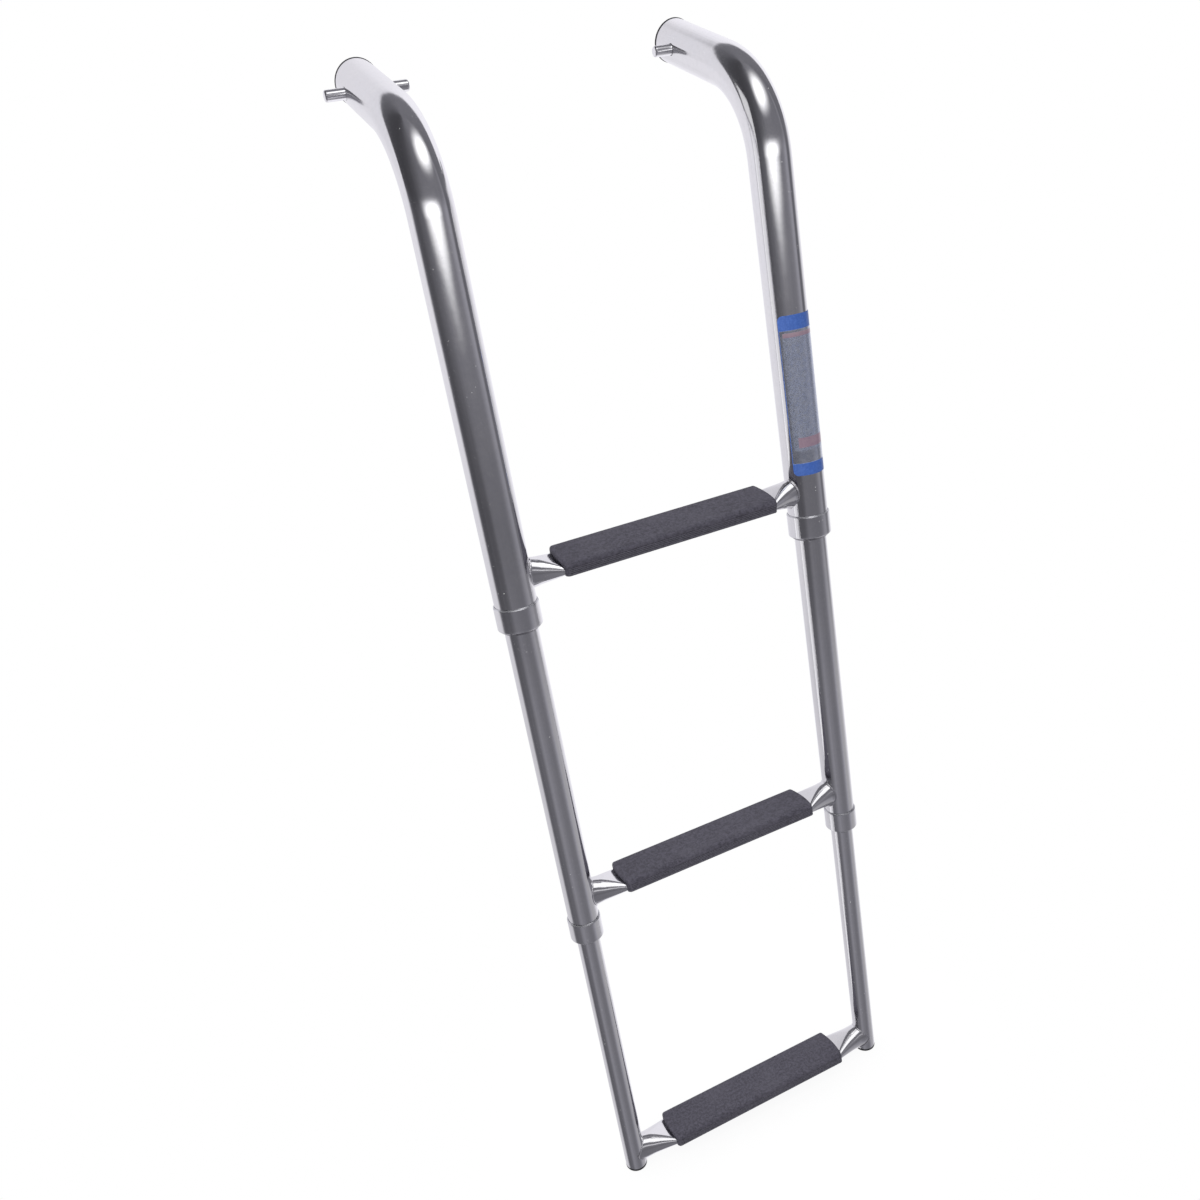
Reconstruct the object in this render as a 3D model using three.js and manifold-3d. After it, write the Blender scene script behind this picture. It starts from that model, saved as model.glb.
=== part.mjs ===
// Telescoping boat boarding ladder: three sliding sections in stainless tube, three flattened
// steps with treads, and two cross pins at the ends of the bent upper rails, on which it hangs.
// Millimetres, +Z up, +Y towards the boat (back), -Y towards the swimmer (front), +X to the
// right of a swimmer who faces the ladder. Fully extended; the origin is the bottom centre of
// the whole object's box, so z = 0 is the underside of the feet.
import * as THREE from "three";
import { mergeVertices } from "three/addons/utils/BufferGeometryUtils.js";
import Module from "manifold-3d";

const wasm = await Module();
wasm.setup();

const { degToRad } = THREE.MathUtils;

// ---- rails ----
const RAIL_SPACING = 254; // left to right rail, axis to axis
const HALF_SPACING = RAIL_SPACING / 2;
const WALL = 1.5;
const UPPER_RADIUS = 31.75 / 2;
const MIDDLE_RADIUS = 25.4 / 2;
const LOWER_RADIUS = 19.05 / 2;
const FACETS = 24; // round every rail, collar, bush and plug

const BEND_START_Z = 822; // where each upper rail leaves the vertical
const BEND_RADIUS = 76.2; // on the tube axis
const BEND_ANGLE = degToRad(68); // towards the boat
const BEND_STEPS = 8;
const TAIL_LENGTH = 76; // straight tube after the bend

// ---- step heights ----
const STEP_PITCH = 279.4; // one step to the next
const BOTTOM_TREAD_TOP = 24;
const MIDDLE_TREAD_TOP = BOTTOM_TREAD_TOP + STEP_PITCH;
const TOP_TREAD_TOP = MIDDLE_TREAD_TOP + STEP_PITCH;
const TOP_STEP_TILT = degToRad(12); // front of the top step down; the lower two are level

// ---- cross pins ----
const PIN_RADIUS = 7.94 / 2;
const PIN_LENGTH = 60;
const PIN_FROM_END = 23; // pin axis to the rail's cut end
const PIN_CHAMFER = 0.8;
const PIN_HOLE_RADIUS = 8.6 / 2;
const PIN_HOLE_OVERRUN = 10; // extra length of the hole's cutter over the rail's diameter
const PIN_FACETS = 16; // round the pin and its hole

// ---- collars ----
const COLLAR_LENGTH = 21;
const COLLAR_BELOW_TREAD = 26.5; // tread top down to the collar's upper edge
const COLLAR_WALL = 1.05;
const COLLAR_FIT = 0.1; // radial gap, collar to outer rail
const COLLAR_LIP = 3.6; // height of the rolled-in lower lip
const COLLAR_LIP_GAP = 0.5; // radial gap, lip to inner rail
const COLLAR_LIP_EDGE = 0.6; // width of the bevel inside the lip's lower edge
const RAIL_ABOVE_COLLAR_END = 4; // rail's lower end above the collar's lower edge

// ---- bushes ----
const SLIDE_GAP = 0.1; // radial clearance of each bush to the tube it slides on
const GUIDE_SLEEVE = 30; // guide bush above the rail's lower end
const GUIDE_FLANGE_DROP = 2.3; // flange underside below the rail's lower end
const GUIDE_FLANGE_INSET = 0.4; // flange inside the rail's outer radius
const GUIDE_FLANGE_CHAMFER = 1.1;
const GUIDE_SEAT_GAP = 0.1; // flange to rail end
const STOP_LENGTH = 13; // stop bush over the inner rail's top end
const STOP_GAP = 1; // stop bush above guide bush when fully extended
const STOP_CAP = 2; // cap's upper face above the inner rail's top end
const STOP_BORE_GAP = 0.05; // radial gap, stop bush to inner rail
const STOP_SEAT_GAP = 0.1; // cap to rail end

// ---- step tubes ----
const STEP_WALL = 1.3;
const STEP_ROOT_WIDTH = 19.2; // at the rail, front to back
const STEP_ROOT_HEIGHT = 24;
const STEP_FLAT_WIDTH = 29.2; // under the tread, front to back
const STEP_FLAT_HEIGHT = 8;
const STEP_AXIS_BELOW_TREAD = 8.2;
const STEP_COPE_GAP = 0.3; // weld gap to the rail
const STEP_COPE_HEIGHT = 60; // length of the cutter for the cope
const STEP_FLAT_BEYOND_TREAD = 0.5; // flat part beyond each end of the tread
const STEP_ROOT_LEAD = 1; // full root size starts this far inside the rail's radius
const STEP_END_SHORT = 0.3; // uncoped end short of the rail's axis
const STEP_SWELL_POWER = 1.7; // how quickly the tube swells from flat to root
const STEP_SWELL_STATIONS = [0.7, 0.45, 0.25, 0.12, 0]; // share of the way, flat to root
const STEP_FACETS = 24;

// ---- treads ----
const TREAD_LENGTH = 182.5; // at the middle of its bowed ends
const TREAD_BOW = 2.2; // how far each end bows out, corner to middle
const TREAD_DEPTH = 34.4; // front to back
const TREAD_HEIGHT = 10.8;
const TREAD_FORWARD = 0.8; // tread centre in front of the step tube's axis
const TREAD_FRONT_ROUNDING = 3.2;
const TREAD_BACK_ROUNDING = 2.4;
const TREAD_ROUNDING_STEPS = 4;
const TREAD_FRONT_CHAMFER = 0.8; // at the lower edges
const TREAD_BACK_CHAMFER = 0.6;
const TREAD_TUBE_GAP = 0.3;
const TREAD_CHANNEL_STEPS = 3; // in each arc of the channel, below and above its mid height
const TREAD_CORNER_RADIUS = 2.4; // in plan
const TREAD_CORNER_SEGMENTS = 4; // in each corner and each bowed end
const TREAD_CUT_MARGIN = 1; // plan block beyond the tread, above and below
const GROOVE_COUNT = 3; // along the tread's front apron
const GROOVE_PITCH = 1.9;
const GROOVE_WIDTH = 0.9;
const GROOVE_DEPTH = 0.45;
const GROOVE_BELOW_ROUNDING = 0.6; // first groove below the front rounding

// ---- end plugs ----
const PLUG_FLANGE = 2.4;
const PLUG_DEPTH = 16; // flange face to shank end
const PLUG_SEAT_GAP = 0.1; // flange to tube end
const PLUG_SHANK_GAP = 0.15; // radial gap, shank to the tube's inside
const PLUG_SHANK_CHAMFER = 1;
const FOOT_PLUG_PROUD = 0.1; // flange over the tube's radius
const TAIL_PLUG_PROUD = 0.3;

// ---- decal, on the right upper rail ----
const DECAL_BOTTOM = 590;
const DECAL_TOP = 713;
const DECAL_GAP = 0.05;
const DECAL_THICKNESS = 0.25;
const DECAL_FROM = -60; // degrees round the rail from the front, positive to the right
const DECAL_TO = 120;

// ---- finishes ----
const steel = { color: 0xb9b9c0, roughness: 0.16, metalness: 1 };
const brightSteel = { color: 0xc6c6cb, roughness: 0.2, metalness: 1 };
const treadPlastic = { color: 0x46444f, roughness: 0.72, metalness: 0 };
const nylon = { color: 0xd8d6cf, roughness: 0.55, metalness: 0 };
const blackPlastic = { color: 0x1c1c1f, roughness: 0.5, metalness: 0 };
const decalFilm = { color: 0x5a79b4, roughness: 0.35, metalness: 0 };

function addMesh(parent, name, geometry, finish) {
  const mesh = new THREE.Mesh(geometry, new THREE.MeshStandardMaterial(finish));
  mesh.name = name;
  parent.add(mesh);
  return mesh;
}

// ---- solids, for joining and cutting ----
function toSolid(geometry) {
  const bare = geometry.clone();
  bare.deleteAttribute("normal");
  bare.deleteAttribute("uv");
  const merged = mergeVertices(bare, 1e-4);
  return new wasm.Manifold(
    new wasm.Mesh({
      numProp: 3,
      vertProperties: new Float32Array(merged.attributes.position.array),
      triVerts: new Uint32Array(merged.index.array),
    }),
  );
}

function toGeometry(solid) {
  const mesh = solid.getMesh();
  const indexed = new THREE.BufferGeometry();
  indexed.setAttribute("position", new THREE.BufferAttribute(mesh.vertProperties, 3));
  indexed.setIndex(new THREE.BufferAttribute(mesh.triVerts, 1));
  const flat = indexed.toNonIndexed();
  flat.computeVertexNormals();
  return flat;
}

// ---- shapes ----
function polar(radius, angle, centreX = 0, centreY = 0) {
  return new THREE.Vector2(
    centreX + radius * Math.cos(angle),
    centreY + radius * Math.sin(angle),
  );
}

function polygon(radius, count) {
  return Array.from({ length: count }, (_, i) => polar(radius, (2 * Math.PI * i) / count));
}

function ringShape(outer, inner, count) {
  const shape = new THREE.Shape(polygon(outer, count));
  shape.holes.push(new THREE.Path(polygon(inner, count).reverse()));
  return shape;
}

function extrude(shape, depth, options = {}) {
  return new THREE.ExtrudeGeometry(shape, { depth, bevelEnabled: false, ...options });
}

// A profile of [radius, z] pairs turned round the Z axis. It runs anticlockwise, seen with the
// radius to the right and z up. It starts and ends on the axis, or else is closed here.
function turned(profile, facets = FACETS) {
  const loop = profile.map(([radius, z]) => new THREE.Vector2(radius, z));
  if (loop[0].x !== 0) loop.push(loop[0].clone());
  return new THREE.LatheGeometry(loop, facets).rotateX(Math.PI / 2);
}

function straightRail(radius, bottom, top) {
  const ring = ringShape(radius, radius - WALL, FACETS);
  return extrude(ring, top - bottom).translate(0, 0, bottom);
}

// ---- axis of an upper rail, in its own YZ plane ----
function railDirection(angle) {
  return new THREE.Vector3(0, Math.sin(angle), Math.cos(angle));
}

function bendPoint(angle) {
  return new THREE.Vector3(
    0,
    BEND_RADIUS * (1 - Math.cos(angle)),
    BEND_START_Z + BEND_RADIUS * Math.sin(angle),
  );
}

const tailDirection = railDirection(BEND_ANGLE);

// The point on the tail's axis this far beyond its cut end; negative is back down the tail.
function beyondTailEnd(distance) {
  return bendPoint(BEND_ANGLE).addScaledVector(tailDirection, TAIL_LENGTH + distance);
}

const pinCentre = beyondTailEnd(-PIN_FROM_END);

// One straight, an arc in even steps, one straight. The curve gives each node in turn, so that
// the sweep has no needless rings on the straights.
class RailAxis extends THREE.Curve {
  constructor(bottom) {
    super();
    this.nodes = [{ point: new THREE.Vector3(0, 0, bottom), tangent: railDirection(0) }];
    for (let i = 0; i <= BEND_STEPS; i++) {
      const angle = (BEND_ANGLE * i) / BEND_STEPS;
      this.nodes.push({ point: bendPoint(angle), tangent: railDirection(angle) });
    }
    this.nodes.push({ point: beyondTailEnd(0), tangent: tailDirection });
  }
  get steps() {
    return this.nodes.length - 1;
  }
  getUtoTmapping(u) {
    return u;
  }
  getPoint(t, target = new THREE.Vector3()) {
    return target.copy(this.nodes[Math.round(t * this.steps)].point);
  }
  getTangent(t, target = new THREE.Vector3()) {
    return target.copy(this.nodes[Math.round(t * this.steps)].tangent);
  }
}

// ---- telescoping joints ----
// Each outer rail ends inside its collar. The guide bush sits in that end, and the inner rail's
// stop bush rests just above the guide bush when the ladder is fully extended.
function slidingJoint(outerRadius, innerRadius, treadTop) {
  const collarTop = treadTop - COLLAR_BELOW_TREAD;
  const collarBottom = collarTop - COLLAR_LENGTH;
  const railBottom = collarBottom + RAIL_ABOVE_COLLAR_END;
  const guideTop = railBottom + GUIDE_SLEEVE;
  const stopBottom = guideTop + STOP_GAP;
  const innerTop = stopBottom + STOP_LENGTH;
  return {
    outerRadius,
    innerRadius,
    collarTop,
    collarBottom,
    railBottom,
    guideTop,
    stopBottom,
    innerTop,
  };
}

const upperJoint = slidingJoint(UPPER_RADIUS, MIDDLE_RADIUS, TOP_TREAD_TOP);
const middleJoint = slidingJoint(MIDDLE_RADIUS, LOWER_RADIUS, MIDDLE_TREAD_TOP);

// Straight skirt round the outer rail's lower end, with a bevelled upper edge and a lip rolled
// in under the guide bush.
function collar({ outerRadius, innerRadius, collarTop: top, collarBottom: bottom }) {
  const inside = outerRadius + COLLAR_FIT;
  const outside = inside + COLLAR_WALL;
  const lipRadius = innerRadius + COLLAR_LIP_GAP;
  const rolledIn = outside - lipRadius - COLLAR_LIP_EDGE;
  const lipCurve = [0.7, 0.35].map((share) => {
    const angle = (share * Math.PI) / 2;
    return [
      outside - rolledIn * (1 - Math.cos(angle)),
      bottom + COLLAR_LIP - COLLAR_LIP * Math.sin(angle),
    ];
  });
  return turned([
    [inside, bottom + 2.7],
    [inside - 1.4, bottom + 1.5],
    [lipRadius, bottom + 1.3],
    [lipRadius, bottom + 0.3],
    [lipRadius + COLLAR_LIP_EDGE, bottom],
    ...lipCurve,
    [outside, bottom + COLLAR_LIP],
    [outside, top - 0.6],
    [outside - 0.4, top],
    [inside, top],
  ]);
}

// Flanged sleeve in the outer rail's lower end, bored for the inner rail.
function guideBush({ outerRadius, innerRadius, railBottom, guideTop }) {
  const sleeve = outerRadius - WALL - SLIDE_GAP;
  const bore = innerRadius + SLIDE_GAP;
  const flange = outerRadius - GUIDE_FLANGE_INSET;
  const flangeBottom = railBottom - GUIDE_FLANGE_DROP;
  const flangeTop = railBottom - GUIDE_SEAT_GAP;
  return turned([
    [bore, flangeBottom],
    [flange - GUIDE_FLANGE_CHAMFER, flangeBottom],
    [flange, flangeBottom + GUIDE_FLANGE_CHAMFER],
    [flange, flangeTop],
    [sleeve, flangeTop],
    [sleeve, guideTop],
    [bore, guideTop],
  ]);
}

// Cap and sleeve over the inner rail's top end; it runs in the outer rail.
function stopBush({ outerRadius, innerRadius, stopBottom, innerTop }) {
  const running = outerRadius - WALL - SLIDE_GAP;
  const bore = innerRadius + STOP_BORE_GAP;
  const capHole = innerRadius - WALL;
  return turned([
    [bore, stopBottom],
    [running, stopBottom],
    [running, innerTop + STOP_CAP],
    [capHole, innerTop + STOP_CAP],
    [capHole, innerTop + STOP_SEAT_GAP],
    [bore, innerTop + STOP_SEAT_GAP],
  ]);
}

// ---- upper rail and pin ----
function upperRail() {
  const axis = new RailAxis(upperJoint.railBottom);
  const swept = new THREE.ExtrudeGeometry(
    ringShape(UPPER_RADIUS, UPPER_RADIUS - WALL, FACETS),
    { steps: axis.steps, extrudePath: axis, bevelEnabled: false },
  );
  const hole = new THREE.CylinderGeometry(
    PIN_HOLE_RADIUS,
    PIN_HOLE_RADIUS,
    2 * UPPER_RADIUS + PIN_HOLE_OVERRUN,
    PIN_FACETS,
  );
  hole.rotateZ(Math.PI / 2);
  hole.translate(0, pinCentre.y, pinCentre.z);
  return toGeometry(toSolid(swept).subtract(toSolid(hole)));
}

// Chamfered rod along X, centred on its origin.
function pivotPin() {
  const halfLength = PIN_LENGTH / 2;
  const endRadius = PIN_RADIUS - PIN_CHAMFER;
  const profile = [
    [0, -halfLength],
    [endRadius, -halfLength],
    [PIN_RADIUS, -halfLength + PIN_CHAMFER],
    [PIN_RADIUS, halfLength - PIN_CHAMFER],
    [endRadius, halfLength],
    [0, halfLength],
  ];
  return turned(profile, PIN_FACETS).rotateY(Math.PI / 2);
}

// ---- step tubes ----
// A point of the step tube's outline, as (y, z): an ellipse for flatness 0, a flat oval for 1,
// mixed in between. Where it is no wider than tall it stays an ellipse.
function stepOutlinePoint(width, height, flatness, index) {
  const share = index / STEP_FACETS;
  const turn = 2 * Math.PI * share;
  const point = new THREE.Vector2((width / 2) * Math.cos(turn), (height / 2) * Math.sin(turn));
  if (width <= height) return point;

  // walk the flat oval anticlockwise from its +Y end
  const radius = height / 2;
  const centre = width / 2 - radius; // of each rounded end
  const straight = 2 * centre;
  const quarter = (Math.PI * radius) / 2;
  const roundEnd = (middle, from, distance) => polar(radius, from + distance / radius, middle);
  let along = share * (2 * straight + 4 * quarter);
  let oval;
  if (along < quarter) oval = roundEnd(centre, 0, along);
  else if ((along -= quarter) < straight) oval = new THREE.Vector2(centre - along, radius);
  else if ((along -= straight) < 2 * quarter) oval = roundEnd(-centre, Math.PI / 2, along);
  else if ((along -= 2 * quarter) < straight) oval = new THREE.Vector2(along - centre, -radius);
  else oval = roundEnd(centre, -Math.PI / 2, along - straight);
  return point.lerp(oval, flatness);
}

// An upright oval at the rails, pressed flat under the tread, coped to each rail. Beyond the
// tread it swells quickly, then stays nearly full. The tilt turns it about its own axis.
function stepTube(railRadius, treadTop, tilt = 0) {
  const flatEnd = TREAD_LENGTH / 2 + STEP_FLAT_BEYOND_TREAD;
  const rootStart = HALF_SPACING - railRadius + STEP_ROOT_LEAD;
  const swellLength = rootStart - flatEnd;
  const stations = [
    HALF_SPACING - STEP_END_SHORT,
    rootStart,
    ...STEP_SWELL_STATIONS.map((share) => flatEnd + swellLength * share),
  ];
  const stationXs = [...stations.map((x) => -x), ...stations.slice().reverse()];

  // a plain ring, extruded one unit per station, whose points are then moved into place
  const OUTER_MARK = 2;
  const INNER_MARK = 1;
  const spans = stationXs.length - 1;
  const ring = ringShape(OUTER_MARK, INNER_MARK, STEP_FACETS);
  const geometry = extrude(ring, spans, { steps: spans });
  const position = geometry.attributes.position;
  for (let i = 0; i < position.count; i++) {
    const ringX = position.getX(i);
    const ringY = position.getY(i);
    const x = stationXs[Math.round(position.getZ(i))];
    const turns = Math.atan2(ringY, ringX) / (2 * Math.PI);
    const index = (Math.round(turns * STEP_FACETS) + STEP_FACETS) % STEP_FACETS;
    const isOuter = Math.hypot(ringX, ringY) > (OUTER_MARK + INNER_MARK) / 2;
    const inset = isOuter ? 0 : 2 * STEP_WALL;
    const share = Math.min(1, Math.max(0, (Math.abs(x) - flatEnd) / swellLength));
    const swell = 1 - (1 - share) ** STEP_SWELL_POWER; // 0 under the tread, 1 at the rail
    const outline = stepOutlinePoint(
      STEP_FLAT_WIDTH + (STEP_ROOT_WIDTH - STEP_FLAT_WIDTH) * swell - inset,
      STEP_FLAT_HEIGHT + (STEP_ROOT_HEIGHT - STEP_FLAT_HEIGHT) * swell - inset,
      1 - swell,
      index,
    );
    position.setXYZ(i, x, outline.x, outline.y);
  }
  geometry.rotateX(tilt);

  let solid = toSolid(geometry);
  const copeRadius = railRadius + STEP_COPE_GAP;
  for (const sign of [-1, 1]) {
    const cutter = new THREE.CylinderGeometry(copeRadius, copeRadius, STEP_COPE_HEIGHT, FACETS);
    cutter.rotateX(Math.PI / 2);
    cutter.translate(sign * HALF_SPACING, 0, 0);
    solid = solid.subtract(toSolid(cutter));
  }
  // keep the tube alone, without any scrap the copes leave at its ends
  const bodies = solid.decompose();
  bodies.sort((first, second) => second.volume() - first.volume());
  return toGeometry(bodies[0]).translate(0, 0, treadTop - STEP_AXIS_BELOW_TREAD);
}

// ---- treads ----
// Cross-section as (y, z), with y = 0 at the tread's centre and z = 0 at its top.
function treadSection() {
  const back = TREAD_DEPTH / 2;
  const front = -back;
  const bottom = -TREAD_HEIGHT;
  const points = [];
  const roundEdge = (radius, y, from) => {
    for (let i = 0; i <= TREAD_ROUNDING_STEPS; i++) {
      const angle = from + ((Math.PI / 2) * i) / TREAD_ROUNDING_STEPS;
      points.push(polar(radius, angle, y, -radius));
    }
  };
  const addPoint = (y, z) => points.push(new THREE.Vector2(y, z));

  roundEdge(TREAD_BACK_ROUNDING, back - TREAD_BACK_ROUNDING, 0);
  roundEdge(TREAD_FRONT_ROUNDING, front + TREAD_FRONT_ROUNDING, Math.PI / 2);
  for (let i = 0; i < GROOVE_COUNT; i++) {
    const z = -TREAD_FRONT_ROUNDING - GROOVE_BELOW_ROUNDING - i * GROOVE_PITCH;
    addPoint(front, z);
    addPoint(front + GROOVE_DEPTH, z - GROOVE_WIDTH / 2);
    addPoint(front, z - GROOVE_WIDTH);
  }
  addPoint(front, bottom + TREAD_FRONT_CHAMFER);
  addPoint(front + TREAD_FRONT_CHAMFER, bottom);

  // channel round the flattened tube, open below between two lips
  const radius = STEP_FLAT_HEIGHT / 2 + TREAD_TUBE_GAP;
  const roundCentre = STEP_FLAT_WIDTH / 2 + TREAD_TUBE_GAP - radius;
  const lipAngle = Math.asin((TREAD_HEIGHT - STEP_AXIS_BELOW_TREAD) / radius);
  const angles = [];
  for (let i = 0; i <= TREAD_CHANNEL_STEPS; i++)
    angles.push(-lipAngle + (lipAngle * i) / TREAD_CHANNEL_STEPS);
  for (let i = 1; i <= TREAD_CHANNEL_STEPS; i++)
    angles.push((Math.PI / 2) * (i / TREAD_CHANNEL_STEPS));
  const addChannelPoint = (sign, angle) => {
    const { x: reach, y: rise } = polar(radius, angle, roundCentre);
    addPoint(TREAD_FORWARD + sign * reach, rise - STEP_AXIS_BELOW_TREAD);
  };
  for (const angle of angles) addChannelPoint(-1, angle);
  for (const angle of angles.reverse()) addChannelPoint(1, angle);

  addPoint(back - TREAD_BACK_CHAMFER, bottom);
  addPoint(back, bottom + TREAD_BACK_CHAMFER);
  return new THREE.Shape(points);
}

// Plan as (x, y): rounded corners, with the ends bowed out between them.
function treadPlan() {
  const endX = TREAD_LENGTH / 2 - TREAD_BOW;
  const controlX = endX + 2 * TREAD_BOW;
  const backY = TREAD_DEPTH / 2;
  const radius = TREAD_CORNER_RADIUS;
  const cornerX = endX - radius;
  const cornerY = backY - radius;
  const plan = new THREE.Shape();
  plan.moveTo(-cornerX, -backY);
  plan.lineTo(cornerX, -backY);
  plan.absarc(cornerX, -cornerY, radius, -Math.PI / 2, 0);
  plan.quadraticCurveTo(controlX, 0, endX, cornerY);
  plan.absarc(cornerX, cornerY, radius, 0, Math.PI / 2);
  plan.lineTo(-cornerX, backY);
  plan.absarc(-cornerX, cornerY, radius, Math.PI / 2, Math.PI);
  plan.quadraticCurveTo(-controlX, 0, -endX, -cornerY);
  plan.absarc(-cornerX, -cornerY, radius, Math.PI, 1.5 * Math.PI);
  return plan;
}

// Moulded channel over the flattened tube. It tilts with the tube, about the tube's axis.
function tread(treadTop, tilt = 0) {
  const channel = extrude(treadSection(), TREAD_LENGTH);
  const sectionToYZ = new THREE.Matrix4().makeBasis(
    new THREE.Vector3(0, 1, 0),
    new THREE.Vector3(0, 0, 1),
    new THREE.Vector3(1, 0, 0),
  );
  channel.applyMatrix4(sectionToYZ);
  channel.translate(-TREAD_LENGTH / 2, 0, 0);
  const block = extrude(treadPlan(), TREAD_HEIGHT + 2 * TREAD_CUT_MARGIN, {
    curveSegments: TREAD_CORNER_SEGMENTS,
  });
  block.translate(0, 0, -TREAD_HEIGHT - TREAD_CUT_MARGIN);
  return toGeometry(toSolid(channel).intersect(toSolid(block)))
    .translate(0, -TREAD_FORWARD, STEP_AXIS_BELOW_TREAD)
    .rotateX(tilt)
    .translate(0, 0, treadTop - STEP_AXIS_BELOW_TREAD);
}

// ---- end plugs ----
// A rounded flange outside the tube, from z = 0 up, and a plain shank inside it.
function endPlug(radius, proud) {
  const shank = radius - WALL - PLUG_SHANK_GAP;
  return turned([
    [0, 0],
    [radius - 1.4, 0],
    [radius - 0.35, 0.45],
    [radius + proud, 1.3],
    [radius + proud, PLUG_FLANGE],
    [shank, PLUG_FLANGE],
    [shank, PLUG_DEPTH - PLUG_SHANK_CHAMFER],
    [shank - PLUG_SHANK_CHAMFER, PLUG_DEPTH],
    [0, PLUG_DEPTH],
  ]);
}

// Plug in an upper rail's open end, its shank pointing back down the tail.
function tailPlug() {
  const face = beyondTailEnd(PLUG_FLANGE + PLUG_SEAT_GAP);
  return endPlug(UPPER_RADIUS, TAIL_PLUG_PROUD)
    .rotateX(Math.PI - BEND_ANGLE)
    .translate(0, face.y, face.z);
}

// ---- decal ----
// Film round part of a rail, with its points in line with the rail's facets.
function decal() {
  const inner = UPPER_RADIUS + DECAL_GAP;
  const outer = inner + DECAL_THICKNESS;
  const angles = [];
  for (let fromFront = DECAL_FROM; fromFront <= DECAL_TO; fromFront += 360 / FACETS)
    angles.push(degToRad(fromFront - 90));
  const outline = [
    ...angles.map((angle) => polar(outer, angle)),
    ...angles.slice().reverse().map((angle) => polar(inner, angle)),
  ];
  return extrude(new THREE.Shape(outline), DECAL_TOP - DECAL_BOTTOM).translate(
    0,
    0,
    DECAL_BOTTOM,
  );
}

// ---- assembly ----
const ladder = new THREE.Group();
ladder.name = "boarding_ladder";
const upper = new THREE.Group();
const middle = new THREE.Group();
const lower = new THREE.Group();
ladder.add(upper, middle, lower);

for (const [side, sign] of [
  ["left", -1],
  ["right", 1],
]) {
  const place = (section, name, geometry, finish, y = 0, z = 0) => {
    const mesh = addMesh(section, `${name}_${side}`, geometry, finish);
    mesh.position.set(sign * HALF_SPACING, y, z);
  };
  const middleRail = straightRail(MIDDLE_RADIUS, middleJoint.railBottom, upperJoint.innerTop);
  const lowerRail = straightRail(
    LOWER_RADIUS,
    PLUG_FLANGE + PLUG_SEAT_GAP,
    middleJoint.innerTop,
  );

  place(upper, "upper_rail", upperRail(), steel);
  place(upper, "pivot_pin", pivotPin(), brightSteel, pinCentre.y, pinCentre.z);
  place(upper, "tail_plug", tailPlug(), blackPlastic);
  place(upper, "upper_collar", collar(upperJoint), steel);
  place(upper, "upper_guide_bush", guideBush(upperJoint), nylon);

  place(middle, "middle_rail", middleRail, steel);
  place(middle, "middle_collar", collar(middleJoint), steel);
  place(middle, "middle_guide_bush", guideBush(middleJoint), nylon);
  place(middle, "middle_stop_bush", stopBush(upperJoint), nylon);

  place(lower, "lower_rail", lowerRail, steel);
  place(lower, "lower_stop_bush", stopBush(middleJoint), nylon);
  place(lower, "foot_plug", endPlug(LOWER_RADIUS, FOOT_PLUG_PROUD), blackPlastic);
}

for (const [section, name, railRadius, treadTop, tilt] of [
  [upper, "top", UPPER_RADIUS, TOP_TREAD_TOP, TOP_STEP_TILT],
  [middle, "middle", MIDDLE_RADIUS, MIDDLE_TREAD_TOP, 0],
  [lower, "bottom", LOWER_RADIUS, BOTTOM_TREAD_TOP, 0],
]) {
  addMesh(section, `${name}_step_tube`, stepTube(railRadius, treadTop, tilt), steel);
  addMesh(section, `${name}_tread`, tread(treadTop, tilt), treadPlastic);
}

addMesh(upper, "safety_decal", decal(), decalFilm).position.x = HALF_SPACING;

// the rails' axes are at y = 0 so far; move the middle of the whole depth there instead
const box = new THREE.Box3().setFromObject(ladder);
for (const section of [upper, middle, lower])
  section.position.y = -(box.min.y + box.max.y) / 2;

export default ladder;
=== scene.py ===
import math

import bmesh
import bpy
import numpy as np
from mathutils import Matrix, Vector


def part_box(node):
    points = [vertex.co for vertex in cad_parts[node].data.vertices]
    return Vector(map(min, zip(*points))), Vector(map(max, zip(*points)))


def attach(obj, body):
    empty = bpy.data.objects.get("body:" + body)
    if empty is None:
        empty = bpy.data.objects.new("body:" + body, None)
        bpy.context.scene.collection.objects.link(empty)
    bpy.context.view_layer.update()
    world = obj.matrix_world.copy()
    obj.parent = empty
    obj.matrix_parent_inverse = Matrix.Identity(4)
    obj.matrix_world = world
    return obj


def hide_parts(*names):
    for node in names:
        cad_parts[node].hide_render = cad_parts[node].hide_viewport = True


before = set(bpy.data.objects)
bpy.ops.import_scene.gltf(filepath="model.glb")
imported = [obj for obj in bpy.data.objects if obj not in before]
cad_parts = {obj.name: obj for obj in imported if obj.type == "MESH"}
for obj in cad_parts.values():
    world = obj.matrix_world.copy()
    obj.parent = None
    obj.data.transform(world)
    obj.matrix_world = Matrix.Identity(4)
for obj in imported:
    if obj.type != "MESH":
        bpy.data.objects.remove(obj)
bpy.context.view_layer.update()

# Telescoping boat boarding ladder: the looks. Lengths below are millimetres unless said; meshes are written in metres.
MM = 0.001
SEG = 96  # points round each tube


def box_mm(node):
    lo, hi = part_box(node)
    return np.array(lo) / MM, np.array(hi) / MM


def centre(node):
    lo, hi = box_mm(node)
    return (lo + hi) / 2


# ---- what the frame says ----
AX = {s: centre("lower_rail_" + s) for s in ("left", "right")}  # rail axes
RAIL_Y = AX["left"][1]
HALF = (AX["right"][0] - AX["left"][0]) / 2
R_UP = (box_mm("upper_rail_left")[1][0] - box_mm("upper_rail_left")[0][0]) / 2
R_MID = (box_mm("middle_rail_left")[1][0] - box_mm("middle_rail_left")[0][0]) / 2
R_LOW = (box_mm("lower_rail_left")[1][0] - box_mm("lower_rail_left")[0][0]) / 2
WALL = 1.5

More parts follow.
